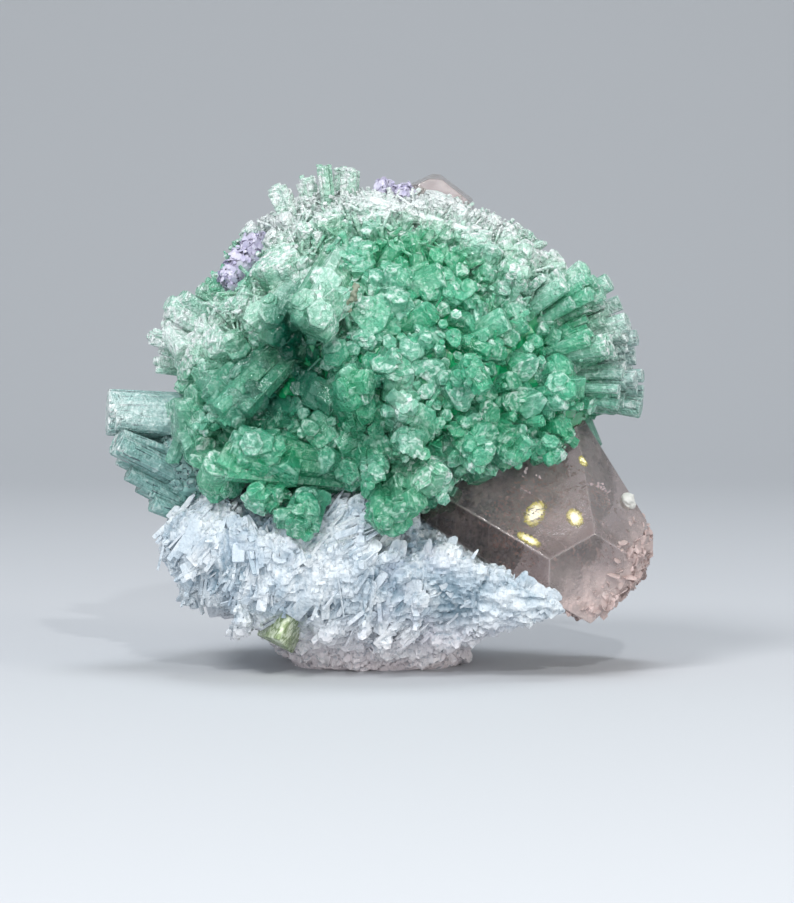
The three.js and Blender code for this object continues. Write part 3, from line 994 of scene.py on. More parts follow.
def part_way(first: Prism, second: Prism, share: float) -> tuple[np.ndarray, np.ndarray]:
    """The tip and the root of a prism that lies that share of the way from one prism to another."""
    tip, root = (np.array(first[n]) * (1 - share) + np.array(second[n]) * share for n in (0, 1))
    return tip, root


@dataclass(frozen=True)
class Row:
    """Thinner prisms, side by side, that fill the gaps in a row of placed ones."""

    each: int
    channel: int  # the first of five channels for the repeatable draws
    back: Range
    up: Range
    radius: Range
    shorter: Range
    curve: float = 0.0  # how much shorter the prisms get towards the back
    spread: float = 1.0

    def fill(self, placed: list[Prism]) -> list[Prism]:
        """Fills the gaps.

        Args:
            placed: The prisms of the row, in order.

        Returns:
            The thinner prisms.
        """
        made: list[Prism] = []
        for first, second in zip(placed, placed[1:]):
            for _ in range(self.each):
                share, back, up, shorter, wide = (scatter(len(made), self.channel + n) for n in range(5))
                tip, root = part_way(first, second, share)
                aside = np.array([0, between(*self.back, back), between(*self.up, up)])
                cut = between(*self.shorter, shorter) + self.curve * aside[1] ** 2
                tip = tip + aside - unit(tip - root) * cut
                made.append((tuple(tip), tuple(root + aside * self.spread), between(*self.radius, wide)))
        return made


RIM_ROW = Row(12, 171, (-15, 9), (-1, 1), (0.7, 1.7), (0.8, 3.8), curve=0.03, spread=0.8)
LEFT_ROW = Row(9, 101, (-4, 11), (-1.4, 1.4), (0.8, 2.0), (0, 5))


def off_mica(tip: Point | np.ndarray) -> bool:
    """Whether a crystal's tip is clear of the left patch of mica, as seen from the front."""
    up = tip[2] - 82.5
    return abs(tip[0] + 26.6 - 0.6 * up) > 2.8 or abs(up) > 7


@dataclass
class TourmalineSpray:
    """The domed spray of green prisms, its fine crystals and its roots."""

    centre: Point = (-1, 2, 52)
    left: float = 40
    right: float = 51
    front: float = 37
    back: float = 20
    down: float = 22
    up: float = 45
    roundness: float = 2.1
    hollow_towards: Point = (-17, -33, 7)
    hollow_depth: float = 0.2
    hollow_spread: float = 0.42
    bare_hollow: float = 0.2  # radians round the hollow's middle with no small crystals
    stout_count: int = 152
    stout_radius: Range = (3.8, 5.8)
    stout_sink: Range = (0.93, 1.03)
    stout_lean: float = 0.26
    root_share: float = 0.62
    main_radius: Range = (0.6, 0.8)  # of a bundle's main crystal, against the stout prism's own
    end_blocks: int = 3
    block_out: Range = (0.4, 0.72)
    block_up: Range = (-1.8, 0.8)
    block_radius: Range = (0.35, 0.7)
    satellites: int = 5
    satellite_out: Range = (0.55, 1.0)
    satellite_down: Range = (-0.4, 3.4)
    satellite_radius: Range = (0.22, 0.44)
    small_count: int = 1700
    small_radius: Range = (1.0, 3.0)
    small_reach: Range = (0.89, 0.995)
    small_roots: float = 0.78
    small_lean: float = 9
    knobs: int = 15
    knob_place: Range = (0.45, 0.97)  # along the prism
    knob_radius: Range = (0.3, 0.72)  # against the prism's own
    knob_out: Range = (0.2, 0.8)
    knob_prism_limit: float = 4.6  # thicker prisms have no larger knobs
    fine_count: int = 19000
    fine_radius: Range = (0.22, 0.6)
    fine_reach: Range = (0.93, 1.01)
    fine_roots: float = 0.88
    fine_lean: float = 7
    roots_share: float = 0.89
    roots_pulled_in: float = 0.16  # at the lower right, over the pink crystal
    lower_edge: tuple[Range, ...] = (
        (-42, 33), (-26, 34), (-5, 31), (11, 28), (15, 34), (19, 39.5), (37, 42), (45, 50),
    )

    def reach(self, direction: np.ndarray) -> float:
        """How far the spray reaches from its centre in one direction, in millimetres.

        Args:
            direction: The direction, one unit long.

        Returns:
            The distance to the ends of the crystals.
        """
        x, y, z = direction
        share = (
            abs(x / (self.left if x < 0 else self.right)) ** self.roundness
            + abs(y / (self.front if y < 0 else self.back)) ** self.roundness
            + abs(z / (self.down if z < 0 else self.up)) ** self.roundness
        )
        away = self.from_hollow(direction) / self.hollow_spread
        return share ** (-1 / self.roundness) * (1 - self.hollow_depth * math.exp(-away * away))

    def from_hollow(self, direction: np.ndarray) -> float:
        """The angle between a direction and the middle of the green hollow, in radians."""
        return math.acos(max(-1.0, min(1.0, float(direction @ unit(np.array(self.hollow_towards, float))))))

    def faces_rock(self, direction: np.ndarray) -> bool:
        """Whether a direction points at the rock behind or below the spray."""
        return direction[1] > 0.3 or (direction[2] < -0.3 and direction[1] > -0.35)

    def is_open(self, direction: np.ndarray, tip: np.ndarray) -> bool:
        """Whether a crystal may stand there: not on the rock's side and not below the spray's lower edge.

        Args:
            direction: The direction from the centre.
            tip: The place of its end, in millimetres.

        Returns:
            True where the spray is open.
        """
        edge_x, edge_z = zip(*self.lower_edge)
        above = tip[2] > np.interp(tip[0], edge_x, edge_z)
        return above and not self.faces_rock(direction) and off_mica(tip)

    def stout_prisms(self) -> list[Prism]:
        """The stout prisms that fill the open side of the dome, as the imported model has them.

        Returns:
            Their tips, roots and radii.
        """
        centre = np.array(self.centre, float)
        prisms = []
        for i, direction in enumerate(spiral(self.stout_count)):
            reach = self.reach(direction)
            tip = centre + direction * reach * between(*self.stout_sink, scatter(i, 1))
            over_morganite = tip[0] > 13 and tip[2] < 42.5 + max(0.0, tip[0] - 34) * 1.1
            over_rock = tip[2] < 33 and tip[1] > -34
            if self.faces_rock(direction) or over_morganite or over_rock:
                continue
            root = centre + (tip - centre) * self.root_share
            root[0] += (scatter(i, 2) - 0.5) * self.stout_lean * reach
            root[2] += (scatter(i, 3) - 0.5) * self.stout_lean * reach
            prisms.append((tuple(tip), tuple(root), between(*self.stout_radius, scatter(i, 4))))
        return prisms

    def bundle(self, prism: Prism, index: int) -> list[Prism]:
        """A stout prism as one main crystal with thinner ones leaning round it.

        Args:
            prism: The stout prism.
            index: Its number, for the repeatable draws.

        Returns:
            The crystals' tips, roots and radii.
        """
        tip, root, radius = np.array(prism[0], float), np.array(prism[1], float), prism[2]
        axis = unit(tip - root)
        side = unit(np.cross(axis, (0.0, 0.0, 1.0)))
        ahead = np.cross(axis, side)
        main = radius * between(*self.main_radius, scatter(index, 11))
        made = [(tuple(tip), tuple(root), main)]
        for k in range(self.end_blocks):
            turn = 2 * math.pi * (k + scatter(index, 82 + k)) / self.end_blocks
            out = side * math.cos(turn) + ahead * math.sin(turn)
            shift = out * main * between(*self.block_out, scatter(index, 87 + k))
            end = tip + shift * 1.1 + axis * between(*self.block_up, scatter(index, 92 + k))
            size = main * between(*self.block_radius, scatter(index, 97 + k))
            made.append((tuple(end), tuple(root + shift), size))
        for k in range(self.satellites):
            turn = 2 * math.pi * (k + scatter(index, 12 + k)) / self.satellites
            out = side * math.cos(turn) + ahead * math.sin(turn)
            lean = between(*self.satellite_out, scatter(index, 22 + k)) * radius
            end = tip + out * lean - axis * between(*self.satellite_down, scatter(index, 32 + k))
            start = root + out * lean * 0.55
            size = radius * between(*self.satellite_radius, scatter(index, 42 + k))
            made.append((tuple(end), tuple(start), size))
        return made

    def side_knobs(self, prism: Prism, index: int) -> list[Prism]:
        """Short crystals that stand out of the sides of a long prism, towards the viewer.

        Args:
            prism: The long prism.
            index: Its number, for the repeatable draws.

        Returns:
            The short crystals.
        """
        tip, root, radius = np.array(prism[0], float), np.array(prism[1], float), prism[2]
        axis = unit(tip - root)
        made = []
        for k in range(self.knobs):
            draw = [scatter(index, 181 + 6 * k + n) for n in range(6)]
            foot = root + (tip - root) * between(*self.knob_place, draw[0])
            out = np.array([draw[1] - 0.5, -0.75 * draw[2], draw[3] - 0.5])
            out = unit(out - axis * float(out @ axis) + 1e-6)
            size = min(radius, self.knob_prism_limit) * between(*self.knob_radius, draw[4])
            height = radius * 0.74 + size * between(*self.knob_out, draw[5])
            end = foot + out * height + axis * size * 0.6
            made.append((tuple(end), tuple(foot), size))
        return made

    def small_prisms(self) -> list[Prism]:
        """The small crystals that fill the room between the stout ones.

        Returns:
            Their tips, roots and radii.
        """
        centre = np.array(self.centre, float)
        prisms = []
        for i, direction in enumerate(spiral(self.small_count)):
            if self.from_hollow(direction) < self.bare_hollow * between(0.7, 1.3, scatter(i, 61)):
                continue
            reach = self.reach(direction)
            tip = centre + direction * reach * between(*self.small_reach, scatter(i, 62))
            if not self.is_open(direction, tip):
                continue
            root = centre + direction * reach * self.small_roots
            root += (draws(i, 63) - 0.5) * self.small_lean
            prisms.append((tuple(tip), tuple(root), between(*self.small_radius, scatter(i, 66) ** 1.6)))
        return prisms

    def fine_prisms(self) -> list[Prism]:
        """The hair-fine pale crystals, thickest where the spray is frosty.

        Returns:
            Their tips, roots and radii.
        """
        centre = np.array(self.centre, float)
        frosty = covered(FROST_ZONES)
        prisms = []
        for i, direction in enumerate(spiral(self.fine_count)):
            reach = self.reach(direction)
            tip = centre + direction * reach * between(*self.fine_reach, scatter(i, 72))
            if scatter(i, 71) > frosty(tip[None, :])[0] * 0.9 + 0.03 or not self.is_open(direction, tip):
                continue
            root = centre + direction * reach * self.fine_roots
            root += (draws(i, 73) - 0.5) * self.fine_lean
            prisms.append((tuple(tip), tuple(root), between(*self.fine_radius, scatter(i, 76) ** 2)))
        return prisms

    def build(self, shapes: dict[CrystalForm, Shape]) -> list[bpy.types.Object]:
        """Builds the roots, the crystals and the fine crystals.

        Args:
            shapes: The modelled crystal of each form.

        Returns:
            The finished pieces.
        """
        # The deep mark is painted shade; the frost and aqua marks are the crystals' own colour.
        zones = {"frost": covered(FROST_ZONES), "deep": covered(HOLLOW_SHADE_ZONES), "aqua": covered(AQUA_ZONES)}
        finish = TourmalineFinish().material()
        stout = [p for i, q in enumerate(self.stout_prisms()) for p in self.bundle(q, i)]
        placed = [p for i, q in enumerate(FRONT_PRISMS + RIM_PRISMS[13:]) for p in self.bundle(q, 500 + i)]
        placed += [p for i, q in enumerate(FRONT_PRISMS) for p in self.side_knobs(q, 600 + i)]
        rim = RIM_PRISMS[:12] + [LONG_PRISM] + RIM_ROW.fill(RIM_PRISMS[:11])
        shown = [prism for prism in stout + placed + rim if off_mica(prism[0])]
        crystals = grow("tourmaline_crystals", shapes, shown, zones, self.form_of)
        small = grow("tourmaline_small_crystals", shapes, self.small_prisms(), zones, self.form_of)
        fines = self.fine_prisms()
        fine = grow("tourmaline_fine_crystals", shapes, fines, zones, lambda i, p: CrystalForm.FINE)
        for piece in (crystals, small, fine):
            settle(piece, finish)
        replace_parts(crystals, "tourmaline_spray")
        return [self.build_roots(), crystals, small, fine]

    def form_of(self, index: int, prism: Prism) -> CrystalForm:
        """Which form a crystal has: grooved at the right rim, and otherwise a mixture.

        Args:
            index: Its number.
            prism: Its tip, root and radius.

        Returns:
            The form.
        """
        if prism[0][0] > 44:
            return CrystalForm.STRIATED
        return MIXED_FORMS[int(scatter(index, 81) * len(MIXED_FORMS))]

    def build_roots(self) -> bpy.types.Object:
        """Builds the mass that the prisms grow out of.

        Returns:
            The finished piece.
        """
        deselect_all()
        bpy.ops.mesh.primitive_ico_sphere_add(subdivisions=6, radius=1)
        obj = bpy.context.object
        obj.name = obj.data.name = "tourmaline_roots"
        centre = np.array(self.centre, float)
        for i, vertex in enumerate(obj.data.vertices):
            direction = unit(np.array(vertex.co, float))
            rough = between(-0.6, 0.6, scatter(i, 91))
            pulled_in = self.roots_pulled_in * min(1.0, max(0.0, -3 * direction[2])) * (direction[0] > 0)
            reach = self.reach(direction) * (self.roots_share - pulled_in) + rough
            vertex.co = Vector((centre + direction * reach) * MM)
        points = np.array([v.co for v in obj.data.vertices], float) / MM
        write_mark(obj.data, "frost", "POINT", covered(FROST_ZONES)(points))
        return settle(obj, RootFinish().material())


def grow(
    name: str,
    shapes: dict[CrystalForm, Shape],
    prisms: list[Prism],
    zones: dict[str, Callable[[np.ndarray], np.ndarray]],
    form_of: Callable[[int, Prism], CrystalForm],
) -> bpy.types.Object:
    """Stands a copy of a modelled crystal at each prism's place.

    Args:
        name: The piece's name.
        shapes: The modelled crystal of each form.
        prisms: Tip, root and radius of each crystal.
        zones: Named marks that depend on the place alone.
        form_of: Gives the form of a crystal from its number and prism.

    Returns:
        All the crystals as one object.
    """
    heap = Heap(name)
    for i, prism in enumerate(prisms):
        shape = shapes[form_of(i, prism)]
        squeeze = between(0.88, 1.14, scatter(i, 51))
        points, marks = standing(shape, prism, scatter(i, 52) * 2 * math.pi, squeeze)
        marks["tint"] = np.full(len(points), scatter(i, 53))
        marks["local"] = marks["local"] + 40 * draws(i, 54)
        heap.add(shape, points, marks)
    return heap.made(zones)


def settle(obj: bpy.types.Object, material: bpy.types.Material) -> bpy.types.Object:
    """Gives a piece its material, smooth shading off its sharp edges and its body.

    Args:
        obj: The finished piece.
        material: Its material.

    Returns:
        The same object.
    """
    obj.data.materials.clear()
    obj.data.materials.append(material)
    select_only(obj)
    bpy.ops.object.shade_smooth_by_angle(angle=math.radians(24))
    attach(obj, BODY)
    return obj


@dataclass
class LeftSpray:
    """The clear aqua fan at the left, led by one thick grooved prism."""

    heart_crystals: int = 130
    heart_radius: Range = (0.6, 1.7)
    heart_behind: float = 0.4  # no crystals on the side of the heart that is turned to the rock
    heart: Point = (-37, -6, 41)
    heart_reach: Point = (6, 7, 8)

    def fillers(self) -> list[Prism]:
        """Thinner prisms beside the placed ones, and short ones all over the heart.

        Returns:
            Their tips, roots and radii.
        """
        prisms = LEFT_ROW.fill(LEFT_PRISMS[:6])
        heart, reach = np.array(self.heart, float), np.array(self.heart_reach, float)
        for k, out in enumerate(spiral(self.heart_crystals)):
            if out[1] < self.heart_behind:
                tip = heart + out * reach * between(1.0, 1.2, scatter(k, 106))
                root = heart + out * reach * 0.5
                prisms.append((tuple(tip), tuple(root), between(*self.heart_radius, scatter(k, 107))))
        return prisms

    def form_of(self, index: int, prism: Prism) -> CrystalForm:
        """Long prisms are grooved, the short ones on the heart are worn."""
        length = math.dist(prism[0], prism[1])
        return CrystalForm.STRIATED if length > 8 else (CrystalForm.ROUNDED, CrystalForm.DOMED)[index % 2]

    def build_heart(self) -> bpy.types.Object:
        """Builds the mass that the fan grows out of.

        Returns:
            The object, still without its material.
        """
        deselect_all()
        bpy.ops.mesh.primitive_ico_sphere_add(
            subdivisions=5, radius=MM, location=tuple(MM * c for c in self.heart), scale=self.heart_reach
        )
        obj = bpy.context.object
        obj.name = obj.data.name = "tourmaline_left_roots"
        bpy.ops.object.transform_apply()
        roughen(obj, 0.003, 0.0012)
        write_mark(obj.data, "frost", "POINT", np.full(len(obj.data.vertices), 0.25))
        return obj

    def build(self, shapes: dict[CrystalForm, Shape]) -> list[bpy.types.Object]:
        """Builds the fan and its roots.

        Args:
            shapes: The modelled crystal of each form.

        Returns:
            The finished pieces.
        """
        # The deep mark is painted shade at the fan's heart, and the aqua finish's root colour is painted
        # shade towards the roots.
        zones = {
            "frost": covered((Zone(-52, 52, 6, 4, 0.5),)),
            "deep": covered((Zone(-40, 41, 5, 6, 0.8),)),
            "aqua": lambda points: np.full(len(points), 0.85),
        }
        prisms = LEFT_PRISMS + self.fillers()
        fan = grow("tourmaline_left_crystals", shapes, prisms, zones, self.form_of)
        aqua = TourmalineFinish("tourmaline_aqua", root="4FA59E", see_through=0.5, aqua="A6D2D1")
        settle(fan, aqua.material())
        roots = RootFinish("tourmaline_aqua_roots", "2C7F78", "7FC0B8")
        heart = settle(self.build_heart(), roots.material())
        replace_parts(fan, "tourmaline_left_spray")
        return [fan, heart]


@dataclass
class FeldsparRock:
    """The rock and the mat of thin blades that lie in it."""

    voxel: float = 0.00065
    crag: float = 1.9
    ridge: float = 1.7
    grit: float = 0.8
    ridge_size: Range = (7.0, 1.5)
    fan_count: int = 680
    blades_in_fan: tuple[int, int] = (2, 5)
    blade_length: Range = (2.0, 9.0)
    blade_width: Range = (0.6, 3.4)
    blade_thickness: Range = (0.2, 0.75)
    blade_rise: Range = (-0.16, 0.04)
    blade_roll: float = 1.35
    blade_wander: float = 3.0
    blade_sink: Range = (0.4, 1.5)

    def heading(self, x: float, z: float) -> float:
        """The angle above level at which the blades lie at a place, seen from the front."""
        leftward = math.exp(-(((x + 22) / 6) ** 2) - ((z - 28) / 7) ** 2)
        return 1.05 + 1.0 * leftward + 0.5 * noise.noise((x / 9, z / 9, 3.0))

    def build_body(self) -> bpy.types.Object:
        """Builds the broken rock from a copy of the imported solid.

        Returns:
            The object, still without its material.
        """
        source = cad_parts["feldspar_matrix"]
        obj = bpy.data.objects.new("feldspar_rock", source.data.copy())
        bpy.context.scene.collection.objects.link(obj)
        edit_faces(obj, lambda face: True)
        bpy.ops.mesh.remove_doubles(threshold=1e-6)
        stop_editing()
        apply_modifier(obj, "REMESH", mode="VOXEL", voxel_size=self.voxel)
        points, relief_shading = [], []
        for vertex in obj.data.vertices:
            place = vertex.co / MM
            height = self.relief(place)
            points.append(place + vertex.normal * height)
            # The tint mark follows the relief: painted shade in the hollows and painted highlight on the
            # ridges.
            relief_shading.append(0.45 + height * 0.35)
        points = inside_box(np.array(points))
        obj.data.vertices.foreach_set("co", (points * MM).astype(np.float32).ravel())
        write_mark(obj.data, "tint", "POINT", np.clip(np.array(relief_shading), 0, 1))
        return obj

    def relief(self, place: Vector) -> float:
        """How far the broken surface stands out at a place, in millimetres.

        Args:
            place: The point, in millimetres.

        Returns:
            The height, lower than 0 in a hollow.
        """
        heading = self.heading(place.x, place.z)
        along = place.x * math.cos(heading) + place.z * math.sin(heading)
        across = place.z * math.cos(heading) - place.x * math.sin(heading)
        long, short = self.ridge_size
        crag = noise.noise(place / 7)
        ridge = 0.5 - abs(noise.noise((along / long, across / short, place.y / short)))
        grit = noise.noise(place / 0.9)
        lump = noise.noise(place / 2.1) * min(1.0, max(0.0, (13 - place.z) / 7))
        height = self.crag * crag + self.ridge * ridge + self.grit * grit + 1.5 * lump - 0.5
        return height * min(1.0, max(0.0, place.z / 1.2))

    def model_blade(self) -> Shape:
        """Models one thin blade with worn edges and a chisel end, a unit wide and a unit long.

        Returns:
            The shape.
        """
        deselect_all()
        bpy.ops.mesh.primitive_cube_add(size=1, location=(0, 0, 0.5))
        obj = bpy.context.object
        bpy.ops.object.transform_apply(location=True)
        edit_faces(obj, lambda face: face.normal.z > 0.9)
        bpy.ops.mesh.extrude_region_move(TRANSFORM_OT_translate={"value": (0.12, 0, 0.16)})
        bpy.ops.transform.resize(value=(0.42, 0.5, 1))
        stop_editing()
        wear_edges(obj, 0.05)
        return Shape.taken_from(obj, 0.1)

    def build_blades(self, body: bpy.types.Object) -> bpy.types.Object:
        """Lays fans of blades all over the rock.

        Args:
            body: The rock's body.

        Returns:
            All the blades as one object.
        """
        tree = BVHTree.FromObject(body, bpy.context.evaluated_depsgraph_get())
        blade = self.model_blade()
        heap = Heap("feldspar_blades")
        for i in range(self.fan_count):
            place = self.fan_place(tree, i)
            if place is None:
                continue
            foot, normal = place
            heading = self.heading(foot[0], foot[2]) + (scatter(i, 113) - 0.5) * 0.9
            count = round(between(*self.blades_in_fan, scatter(i, 114)))
            for k in range(count):
                self.add_blade(heap, blade, foot, normal, heading + (k - count / 2) * 0.07, i * 16 + k)
        return heap.made({})

    def fan_place(self, tree: BVHTree, index: int) -> tuple[np.ndarray, np.ndarray] | None:
        """Where a fan lies: two in three in front, and the others behind.

        Args:
            tree: The rock's surface.
            index: The fan's number.

        Returns:
            The foot in millimetres and the outward normal, or None where there is no rock.
        """
        side = 1 if index % 3 == 2 else -1
        low, high = (4, 80) if side > 0 else (1.5, 36)
        x = between(-42, 40, (index * (GOLDEN_RATIO - 1)) % 1)
        z = between(low, high, (index + 0.5) / self.fan_count)
        start = Vector((x, side * 60, z)) * MM
        point, normal, _, _ = tree.ray_cast(start, Vector((0, -side, 0)))
        if point is None or (side < 0 and point.y > 0.002) or (point.x > 0.004 and normal.z > 0.3):
            return None
        foot = np.array(point) / MM
        middle = np.array([between(-4, -8, z / 80), 0, 24 if side < 0 else 45])
        bulge = unit((foot - middle) / np.array([40, 34, 20 if side < 0 else 45]) ** 2)
        return foot, unit(bulge + 0.5 * np.array(normal))

    def add_blade(
        self, heap: Heap, blade: Shape, foot: np.ndarray, normal: np.ndarray, heading: float, index: int
    ) -> None:
        """Adds one blade to the heap, sunk in the rock for most of its length.

        Args:
            heap: The heap that takes it.
            blade: The modelled blade.
            foot: The middle of its length on the rock, in millimetres.
            normal: The rock's outward direction there.
            heading: The angle above level in which it points, seen from the front.
            index: Its number, for the repeatable draws.
        """
        level = np.array([math.cos(heading), 0.0, math.sin(heading)])
        flat = unit(level - normal * float(level @ normal))
        long_axis = unit(flat + normal * between(*self.blade_rise, scatter(index, 121)))
        side_axis = unit(np.cross(long_axis, normal))
        out_axis = np.cross(side_axis, long_axis)
        roll = self.blade_roll * between(-1.0, 1.0, scatter(index, 128))
        wide_axis = side_axis * math.cos(roll) + out_axis * math.sin(roll)
        thin_axis = np.cross(long_axis, wide_axis)
        short = between(0.45, 1.0, min(1.0, max(0.0, (foot[2] - 3) / 14)))
        short *= between(1.0, 0.6, min(1.0, max(0.0, (foot[0] - 6) / 12)))
        length = between(*self.blade_length, scatter(index, 122) ** 1.5) * short
        width = between(*self.blade_width, scatter(index, 123) ** 2)
        thick = between(*self.blade_thickness, scatter(index, 124))
        wander = (np.array([scatter(index, 125), 0.5, scatter(index, 126)]) - 0.5) * self.blade_wander
        buried = 0.5 * width * abs(math.sin(roll)) + 0.5 * max(0.0, min(1.0, (foot[0] - 8) / 10))
        sink = between(*self.blade_sink, scatter(index, 129)) + buried
        start = foot - long_axis * length * 0.6 + wander - normal * sink
        points = (
            start
            + (blade.points[:, 0] * width)[:, None] * wide_axis
            + (blade.points[:, 1] * thick)[:, None] * thin_axis
            + (blade.points[:, 2] * length)[:, None] * long_axis
        )
        heap.add(blade, points, {"tint": np.full(len(points), between(0.3, 0.95, scatter(index, 127)))})

    def build(self) -> list[bpy.types.Object]:
        """Builds the rock and its blades.

        Returns:
            The finished pieces.
        """
        body = self.build_body()
        blades = self.build_blades(body)
        finish = FeldsparFinish("feldspar_blue_white").material()
        for piece in (body, blades):
            settle(piece, finish)
        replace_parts(body, "feldspar_matrix")
        return [body, blades]


def cut_crystal(name: str, faces: list, bevel: float) -> bpy.types.Object:
    """Models a crystal as by hand: a block, cut off flat along each face and bevelled.

    Args:
        name: The piece's name.
        faces: For each face its outward direction and a point of it, in millimetres.
        bevel: Width of the worn edges, in metres.

    Returns:
        The object, at the origin.
    """
    middle = np.mean([point for _, point in faces], axis=0)
    deselect_all()
    bpy.ops.mesh.primitive_cube_add(size=0.2, location=tuple(middle * MM))
    obj = bpy.context.object
    obj.name = obj.data.name = name
    bpy.ops.object.transform_apply(location=True)
    for direction, point in faces:
        edit_faces(obj, lambda face: True)
        bpy.ops.mesh.bisect(
            plane_co=tuple(MM * p for p in point), plane_no=direction, use_fill=True, clear_outer=True
        )
        stop_editing()
    wear_edges(obj, bevel, 2, 0.2)
    return obj


@dataclass
class Morganites:
    """The large pink crystal, what lies in it, and the small one at the top."""

    bevel: float = 0.00022
    veil_count: int = 6
    veil_box: tuple[Point, Point] = ((30, -16, 24), (46, -8, 34))  # where the veils have their middles
    veil_size: Range = (14, 10)
    veil_bend: float = 0.03
    flakes_in_veil: int = 300
    flake_radius: Range = (0.08, 0.42)
    # Middle x and z, length, width and lean of each crack whose flakes are painted to give off light, seen
    # from the front.
    flashes: tuple[tuple[float, float, float, float, float], ...] = (
        (31.6, 32.2, 2.8, 1.8, 0.9), (39.4, 31.4, 1.8, 1.4, -0.9), (30.2, 27.4, 2.5, 0.7, -0.45),
        (41.6, 42.0, 1.1, 0.4, -0.9),
    )
    # Painted shade of the first five flat faces, as shares of the deep colour; the other faces take 0.25.
    facet_shades: tuple[float, ...] = (0.35, 0.95, 0.6, 0.1, 0.3)
    frost_zones: tuple[Zone, ...] = (
        Zone(45, 14, 11, 7), Zone(54, 22, 4, 10, 0.8), Zone(36, 12, 5, 3, 0.5), Zone(34, 37, 9, 4, 0.4),
        Zone(36, 30, 7, 3, 0.28),
    )
    grain_count: int = 520
    grain_radius: Range = (0.35, 1.3)
    crust_edge: tuple[Range, ...] = (
        (56, 27), (55.4, 21), (53, 16.4), (48, 13.4), (43, 11.6), (37, 11),
    )
    flakes_in_flash: int = 120
    flash_depth: Range = (0.3, 0.7)
    flash_flake: float = 0.34

    def model_flake(self) -> Shape:
        """Models one thin six-sided flake, one radius wide.

        Returns:
            The shape.
        """
        deselect_all()
        bpy.ops.mesh.primitive_cylinder_add(vertices=6, radius=1, depth=0.12)
        obj = bpy.context.object
        edit_faces(obj, lambda face: face.normal.z > 0.9)
        bpy.ops.mesh.inset(thickness=0.3)
        bpy.ops.transform.translate(value=(0.1, 0, 0.05))
        stop_editing()
        return Shape.taken_from(obj, 0.13)

    def build_veils(self) -> bpy.types.Object:
        """Builds the flakes that lie in curved sheets inside the large crystal.

        Returns:
            All the flakes as one object.
        """
        flake = self.model_flake()
        heap = Heap("morganite_veils")
        low, high = (np.array(corner, float) for corner in self.veil_box)
        for sheet in range(self.veil_count):
            centre = low + (high - low) * draws(sheet, 131)
            across = unit(draws(sheet, 134) - 0.5)
            up = unit(np.cross(across, (0.3, 1.0, 0.2)))
            for k in range(self.flakes_in_veil):
                index = sheet * 1000 + k
                u, v = (draws(index, 137)[:2] - 0.5) * self.veil_size
                bend = self.veil_bend * (u * u + v * v)
                point = centre + across * u + up * v + np.cross(across, up) * bend
                size = between(*self.flake_radius, scatter(index, 139) ** 3)
                tip = point + unit(np.cross(across, up) + (scatter(index, 140) - 0.5) * 0.8) * size
                points, _ = standing(flake, (tuple(tip), tuple(point), size), scatter(index, 141) * 6, 1.3)
                heap.add(flake, points, {})
        return heap.made({})

    def build_flashes(self, large: bpy.types.Object) -> bpy.types.Object:
        """Builds the cracks just under the large crystal's upper face, as close-set flakes that are painted
        to give off light.

        Args:
            large: The large crystal.

        Returns:
            All the cracks as one object.
        """
        tree = BVHTree.FromObject(large, bpy.context.evaluated_depsgraph_get())
        flake = self.model_flake()
        heap = Heap("morganite_painted_flashes")
        for x, z, long, short, lean in self.flashes:
            for k in range(self.flakes_in_flash):
                turn, away = k * GOLDEN_ANGLE, math.sqrt(scatter(k, 144))
                u, v = math.cos(turn) * away * long, math.sin(turn) * away * short
                across = u * math.cos(lean) - v * math.sin(lean)
                up = u * math.sin(lean) + v * math.cos(lean)
                start = Vector((x + across, -60, z + up)) * MM
                hit, normal, _, _ = tree.ray_cast(start, Vector((0, 1, 0)))
                inward = np.array(normal) * -between(*self.flash_depth, scatter(k, 145))
                point = np.array(hit) / MM + inward
                tip = point - inward * 0.3 + (scatter(k, 142) - 0.5) * 0.15
                prism = (tuple(tip), tuple(point), self.flash_flake)
                points, _ = standing(flake, prism, scatter(k, 143) * 6, 1.4)
                heap.add(flake, points, {"middle": np.full(len(points), 1 - away * away)})
        return heap.made({})

    def build_crust(self, large: bpy.types.Object) -> bpy.types.Object:
        """Builds the sugary crust of small grains along the large crystal's lower right edge.

        Args:
            large: The large crystal.

        Returns:
            All the grains as one object.
        """
        tree = BVHTree.FromObject(large, bpy.context.evaluated_depsgraph_get())
        deselect_all()
        bpy.ops.mesh.primitive_ico_sphere_add(subdivisions=2, radius=1)
        ball = bpy.context.object
        for vertex in ball.data.vertices:
            vertex.co *= 1 + 0.35 * noise.noise(vertex.co * 1.9)
        grain = Shape.taken_from(ball, 0.2)
        heap = Heap("morganite_crust")
        edge_x, edge_z = zip(*self.crust_edge)
        for k in range(self.grain_count):
            share = between(0, len(edge_x) - 1, (k + 0.5) / self.grain_count)
            x = np.interp(share, range(len(edge_x)), edge_x) - between(0, 9, scatter(k, 146) ** 2.2)
            z = np.interp(share, range(len(edge_z)), edge_z) + between(0, 3.5, scatter(k, 147) ** 2)
            near, normal, _, _ = tree.find_nearest(Vector((x, between(-26, 2, scatter(k, 148)), z)) * MM)
            size = between(*self.grain_radius, scatter(k, 149) ** 2)
            point = np.array(near) / MM + np.array(normal) * size * 0.25
            tip = point + unit(draws(k, 150) - 0.5) * size
            points, _ = standing(grain, (tuple(tip), tuple(point), size), scatter(k, 153) * 6, 1.2)
            heap.add(grain, points, {"frost": np.ones(len(points))})
        return heap.made({})

